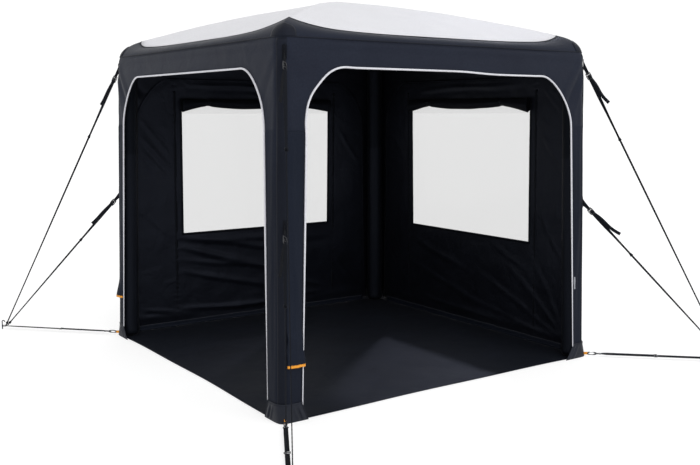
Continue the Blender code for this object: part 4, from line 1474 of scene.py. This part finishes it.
# drawn steel: grey metal, dulled in patches, with fine drawing lines along the wire
STEEL_LOOK = ((70.0, 4.0, 0.0), (0.28, 0.52), (900.0, 2.0, 0.0), (0.2, 0.0002), {"Metallic": 1.0})
zinc = hard_finish("zinc_plated_steel", "#8F9092", "#B9BABC", *STEEL_LOOK)
black_steel = hard_finish("blackened_peg_steel", "#2A2B2E", "#404144", *STEEL_LOOK)

gear = {}
for name, (x, y) in PEG_PLACES.items():
    corner, place = Vector((math.copysign(1, x), math.copysign(1, y), 0)), Vector((x, y, 0))
    out = (place - corner * (face_at(1.0) - CORNER_R)).normalized()
    across = Vector((-out.y, out.x, 0))
    gear[name] = (corner, place, out, across)
    skin = new_skin()
    foot = place + out * RING_R
    tube(skin, [foot + out * reach + Vector((0, 0, z)) for reach, z in SHANK],
         [PEG_R] * 8 + [0.8 * PEG_R], 16, up=across)
    centre = place + Vector((0, 0, RING_Z))
    tube(skin, [centre + out * RING_R * math.cos(t) + across * RING_R * math.sin(t)
                for t in even(0, 2 * math.pi, 40)], WIRE_R, 10, caps=False)
    own(mesh_piece("peg_and_ring_" + name, skin, black_steel, weld=WELD), "peg_steel", "peg_" + name)


# GUYS
# Two guys run from each corner band to the ring: 20 mm polyester webbing from a sewn gusset through
# a ladder-lock buckle, with a loose tail, then braided line that thins to 9 mm towards the ring.
WEB_HALF = 0.0105
WEB_THICK = 0.0016
WEB_CELLS = 80
LINE_R = 0.0046
BUCKLE_LOW, BUCKLE_HIGH = 0.060, 0.106      # where the buckle sits, from the corner band
# The guys, as (kind, height, degrees round the ring, slope, length of webbing, length of tail)
GUY_KINDS = (("upper", 1.952, 38, 62.8, 0.54, 0.220), ("mid", 1.051, -38, 47.0, 0.47, 0.245))
# How a corner's gear hangs: the webbing's twist and where it is reached, how far the tail stands off,
# and how thick the line starts, in LINE_R, and between which shares of its length that is lost
HANGS = {"near": (0.45, 0.10, 0.90, 0.62, (0.955, 0.98)), "left": (0.05, 0.60, 0.40, 1.45, (0.10, 0.85))}
OTHER_HANG = (0.55, 0.60, 0.90, 1.45, (0.10, 0.85))
# Outline of a webbing's section, in shares of its half width and half thickness
WEB_SECTION = ((-1, -0.6), (-0.9, -1), (0, -1), (0.9, -1), (1, -0.6), (1, 0.6), (0.9, 1), (0, 1), (-0.9, 1),
               (-1, 0.6))

guy_webbing = woven_cloth("black_guy_webbing", "#0F1013", "#090A0C", 0.6, crease=0.0004, pitch=0.0022,
                          weave=0.6)
braided_line = woven_cloth("black_braided_line", "#121317", "#0B0C0E", 0.6, crease=0.0004, pitch=0.0018,
                           weave=0.8)


def corner_point(name, z, lift, grow=0.0):
    """Point on the middle of a corner, on the side where its peg stands."""
    corner, place, out, across = gear[name]
    return corner * (face_at(z) + grow - CORNER_R) + Vector((0, 0, z)) + out * (CORNER_R + lift)


def hook_point(name, degrees, slope):
    """Where a line of the given slope ends, on the pavilion's side of the ring."""
    corner, place, out, across = gear[name]
    turn, steep = math.radians(degrees), math.radians(slope)
    clear = RING_R + WIRE_R + 0.0003 + LINE_R * math.sin(steep) * math.cos(turn)
    lift = LINE_R * math.cos(steep) if slope else 0.0
    return (place + Vector((0, 0, RING_Z + lift)) - out * clear * math.cos(turn)
            + across * clear * math.sin(turn))


def ribbon(skin, path, half, side, twist=None, thick=WEB_THICK):
    """Append flat webbing along a path: half is half the width, or one a point."""
    halves = half if hasattr(half, "__len__") else [half] * len(path)
    rows = []
    for k, (p, wide, run) in enumerate(zip(path, halves, lengths(path))):
        ahead = heading(path, k)
        level = (side - ahead * side.dot(ahead)).normalized()
        if twist:
            level = Matrix.Rotation(twist[k], 3, ahead) @ level
        face = ahead.cross(level)
        row = [(p + level * wide * a + face * thick / 2 * b, (wide * a, run)) for a, b in WEB_SECTION]
        rows.append(row + row[:1])
    grid(skin, rows)
    cap(skin, [p for p, uv in rows[0][:-1]])
    cap(skin, [p for p, uv in rows[-1][:-1]], flip=True)


def braid(skin, start, finish, swell, settle):
    """Append a taut braided line, swell times LINE_R thick, which it loses between the shares in settle."""
    count = max(4, int((finish - start).length / 0.006))
    thick = [LINE_R * (swell + (1 - swell) * smooth(*settle, k / count)) * (1 + 0.10 * math.sin(k * 2.1))
             for k in range(count + 1)]
    tube(skin, [start.lerp(finish, k / count) for k in range(count + 1)], thick, 7)


def knot(skin, spot, ahead, size):
    """Append a small overhand knot round a line."""
    one = ahead.orthogonal().normalized()
    two = ahead.cross(one)
    path = []
    for k in range(31):
        t = 2 * math.pi * k / 30 * 2
        path.append(spot + (one * math.cos(t) + two * math.sin(t)) * size * (1 + 0.25 * math.sin(t / 2))
                    + ahead * size * 1.2 * math.sin(t / 2))
    tube(skin, path, LINE_R, 7, up=ahead)


def buckle(skin, spot, ahead, side, wide=0.0150):
    """Append a ladder-lock buckle: a frame with two rails and a lifted thumb bar."""
    face = ahead.cross(side)
    long = BUCKLE_HIGH - BUCKLE_LOW
    for s in (-1, 1):
        tube(skin, [spot + ahead * long * t + side * wide * s * (1 - 0.24 * abs(t))
                    for t in even(-0.5, 0.5, 8)],
             [0.0016, 0.0026] + [0.0028] * 5 + [0.0026, 0.0016], 10, up=face, flat=0.8)
    for t, lift in ((-0.46, 0.0), (-0.10, 0.0015), (0.14, -0.001), (0.46, 0.0035)):
        tube(skin, [spot + ahead * long * t + side * wide * s + face * lift * (1 - s * s)
                    for s in even(-1, 1, 8)], 0.0022, 8, up=face)


def guy_tab(skin, name, z, start, ahead, raised):
    """Append the gusset from the corner band to the buckle, and the patch that is sewn under it."""
    corner, place, out, across = gear[name]
    rows = []
    for i in range(11):
        wide = (1 - i / 10) ** 1.4
        centre = start + ahead * (BUCKLE_LOW - 0.004) * i / 10
        row = []
        for j in range(7):
            reach = -1 + 2 * j / 6
            root = corner_point(name, z + 0.030 * reach, -0.0006)
            edge = centre + raised * 0.0100 * reach
            row.append((root * wide + edge * (1 - wide), (j * 0.005, i * 0.006)))
        rows.append(row)
    grid(skin, rows)
    rows = []
    for i in range(11):
        low = z + 0.036 - 0.072 * i / 10
        turns = [Matrix.Rotation((-1 + j / 3) * 0.011 / CORNER_R, 3, "Z") for j in range(7)]
        middle = corner * (face_at(low) - CORNER_R) + Vector((0, 0, low))
        rows.append([(middle + turn @ out * (CORNER_R + 0.0030), (j * 0.004, i * 0.007))
                     for j, turn in enumerate(turns)])
    grid(skin, rows)


buckles, tabs = new_skin(), new_skin()
for name in gear:
    over, until, splay, swell, settle = HANGS.get(name, OTHER_HANG)
    wave = len(name)    # sets each corner's tails waving in their own way
    for kind, z, turn, slope, web_end, drop in GUY_KINDS:
        start, finish = corner_point(name, z, 0.0012), hook_point(name, turn, slope)
        ahead = (finish - start).normalized()
        level = ahead.cross(Vector((0, 0, 1))).normalized()
        raised = level.cross(ahead)
        if name == "near":
            raised = Matrix.Rotation(math.radians(38), 3, ahead) @ raised
            level = ahead.cross(raised)
        skin = new_skin()
        # the short turn round the buckle's bar, the webbing, its tail and the tail's folded end
        ribbon(skin, [start + ahead * (BUCKLE_LOW - 0.012 + 0.006 * k) for k in range(5)], WEB_HALF, raised)
        first = BUCKLE_LOW + 0.016
        shares = even(0, 1, WEB_CELLS)
        ribbon(skin, [start + ahead * (first + (web_end - first) * t) for t in shares],
               [WEB_HALF * (1 - 0.35 * smooth(0.35, 1.0, t)) for t in shares], raised,
               [0.16 * math.sin(t * 3.1) + over * smooth(until - 0.35, until, t) for t in shares])
        tail, bend = [], []
        for t in even(0, 1, 40):
            lift = 0.004 + splay * (0.036 * t ** 1.5 + 0.004 * math.sin(t * 8 + wave))
            tail.append(start + ahead * (BUCKLE_LOW + 0.014 + drop * t) + raised * lift
                        + level * (0.0016 + 0.006 * t))
            bend.append(0.10 * math.sin(t * 40 / 9.0 + wave) * t)
        ribbon(skin, tail, WEB_HALF, raised, bend)
        back = (tail[-1] - tail[-2]).normalized()
        ribbon(skin, [tail[-1] + back * step for step in (-0.013, -0.008, -0.004, 0.0, 0.003)],
               WEB_HALF * 1.02, raised, [bend[-1]] * 5, thick=0.0038)
        line_start = start + ahead * (web_end - 0.012)
        braid(skin, line_start, finish, swell, settle)
        knot(skin, start + ahead * (web_end + 0.004), ahead, 0.0058)
        knot(skin, finish - ahead * 0.030, ahead, 0.0048)
        guy = mesh_piece("guy_" + kind + "_" + name + "_run", skin, guy_webbing, braided_line)
        for polygon in guy.data.polygons:
            if polygon.center.z < line_start.z + 0.004:
                polygon.material_index = 1
        own(guy, "webbing", "guy_" + kind + "_" + name)
        buckle(buckles, start + ahead * (BUCKLE_LOW + BUCKLE_HIGH) / 2, ahead, raised)
        guy_tab(tabs, name, z, start, ahead, raised)
own(mesh_piece("ladder_lock_buckles", buckles, moulded_nylon), "hub_plastic")
own(thicken(mesh_piece("guy_tabs", tabs, guy_webbing), WEB_THICK, offset=0.0), "webbing")


# GROUND STRAPS
# An orange loop sewn to each boot takes a small black snap hook with a steel gate. A bar eye joins it
# to flat 25 mm webbing that lies along the ground to the ring and is doubled back through a slide.
STRAP_HALF = 0.0125
STRAP_START = 0.118     # from the boot, past the loop, the hook and the bar eye
STRAP_CELLS = 90
SLIDE_CELL = 40         # the webbing is doubled up to the slide, at this cell
# Middle lines of the loop and the bar eye, as (outwards, across)
LOOP_SHAPE = ((0.000, 0.0040), (0.012, 0.0048), (0.024, 0.0056), (0.031, 0.0040), (0.034, 0.0),
              (0.031, -0.0040), (0.024, -0.0056), (0.012, -0.0048), (0.000, -0.0040))
EYE_SHAPE = ((0.098, 0.0), (0.101, 0.008), (0.105, 0.0120), (0.116, 0.0134), (0.120, 0.0124), (0.120, 0.0),
             (0.120, -0.0124), (0.116, -0.0134), (0.105, -0.0120), (0.101, -0.008), (0.098, 0.0))
ROUNDED = [0.0018, 0.0025, 0.0025, 0.0018]      # radii of the slide's bars, from end to end

hooks, bodies, loops = new_skin(), new_skin(), new_skin()
raised = Vector((0, 0, 1))
for name, (corner, place, out, across) in gear.items():
    start, finish = corner_point(name, 0.020, 0.0030, 0.004), hook_point(name, 0, 0)
    ahead = (finish - start).normalized()
    ribbon(loops, resample([start + ahead * d + across * w for d, w in LOOP_SHAPE], 28), 0.0078, raised,
           thick=0.0020)
    tall, slim = (across, raised) if name == "near" else (raised, across)
    angles = even(0, 2 * math.pi, 32)
    # the hook's long ring, its gate, and the swivel that turns in its neck
    tube(bodies, [start + ahead * (0.057 - 0.0285 * math.cos(t))
                  + (tall * 0.0080 + slim * 0.0022) * math.sin(t) for t in angles],
         [0.0046 + 0.0022 * math.cos(2 * t) for t in angles], 8, caps=False)
    tube(hooks, [start + ahead * (0.044 + 0.028 * t) - slim * 0.0020
                 + tall * (0.0080 + 0.0010 * math.sin(t * math.pi)) for t in even(0, 1, 6)],
         0.0026, 8)
    tube(bodies, [start + ahead * d for d in (0.084, 0.088, 0.096, 0.100)],
         [0.0040, 0.0060, 0.0060, 0.0040], 10)
    tube(hooks, [start + ahead * d for d in (0.0905, 0.0935)], 0.0066, 10)
    tube(bodies, resample([start + ahead * d + across * w for d, w in EYE_SHAPE], 34), 0.0026, 8, caps=False)
    skin = new_skin()
    shares = even(0, 1, STRAP_CELLS)
    lean = (0.05 if name == "left" else 0.22) * (across.x + across.y)
    twist = [lean * smooth(-0.03, 0.06, t) * (1 - smooth(0.85, 0.97, t)) for t in shares]
    half = [STRAP_HALF * (0.80 + 0.20 * smooth(0.0, 0.03, t)) for t in shares]
    drawn_in = [h * (1 - 0.45 * smooth(0.965, 1.0, t)) for h, t in zip(half, shares)]
    web = [start + ahead * (STRAP_START + ((finish - start).length - STRAP_START) * t) for t in shares]
    ribbon(skin, web, drawn_in, across, twist)
    tips = [Matrix.Rotation(turn, 3, ahead) @ raised for turn in twist]
    ribbon(skin, [p + tip * 0.0021 for p, tip in zip(web[:SLIDE_CELL], tips)], half[:SLIDE_CELL],
           across, twist)
    own(mesh_piece("ground_strap_" + name + "_run", skin, guy_webbing), "webbing", "ground_strap_" + name)
    slide = web[SLIDE_CELL] + tips[SLIDE_CELL] * 0.0010
    over = Matrix.Rotation(twist[SLIDE_CELL], 3, ahead) @ across
    for t in (-0.009, 0.0, 0.009):
        tube(hooks if t else bodies,
             [slide + ahead * t + over * w for w in (-0.0158, -0.0140, 0.0140, 0.0158)], ROUNDED, 8)
    for w in (-0.0150, 0.0150):
        tube(bodies, [slide + over * w + ahead * t for t in (-0.0115, -0.009, 0.009, 0.0115)], ROUNDED, 8)
own(mesh_piece("strap_hooks", hooks, zinc), "peg_steel")
own(mesh_piece("snap_hook_bodies", bodies, moulded_nylon), "hub_plastic")
own(mesh_piece("boot_loops", loops, orange_tape), "webbing")
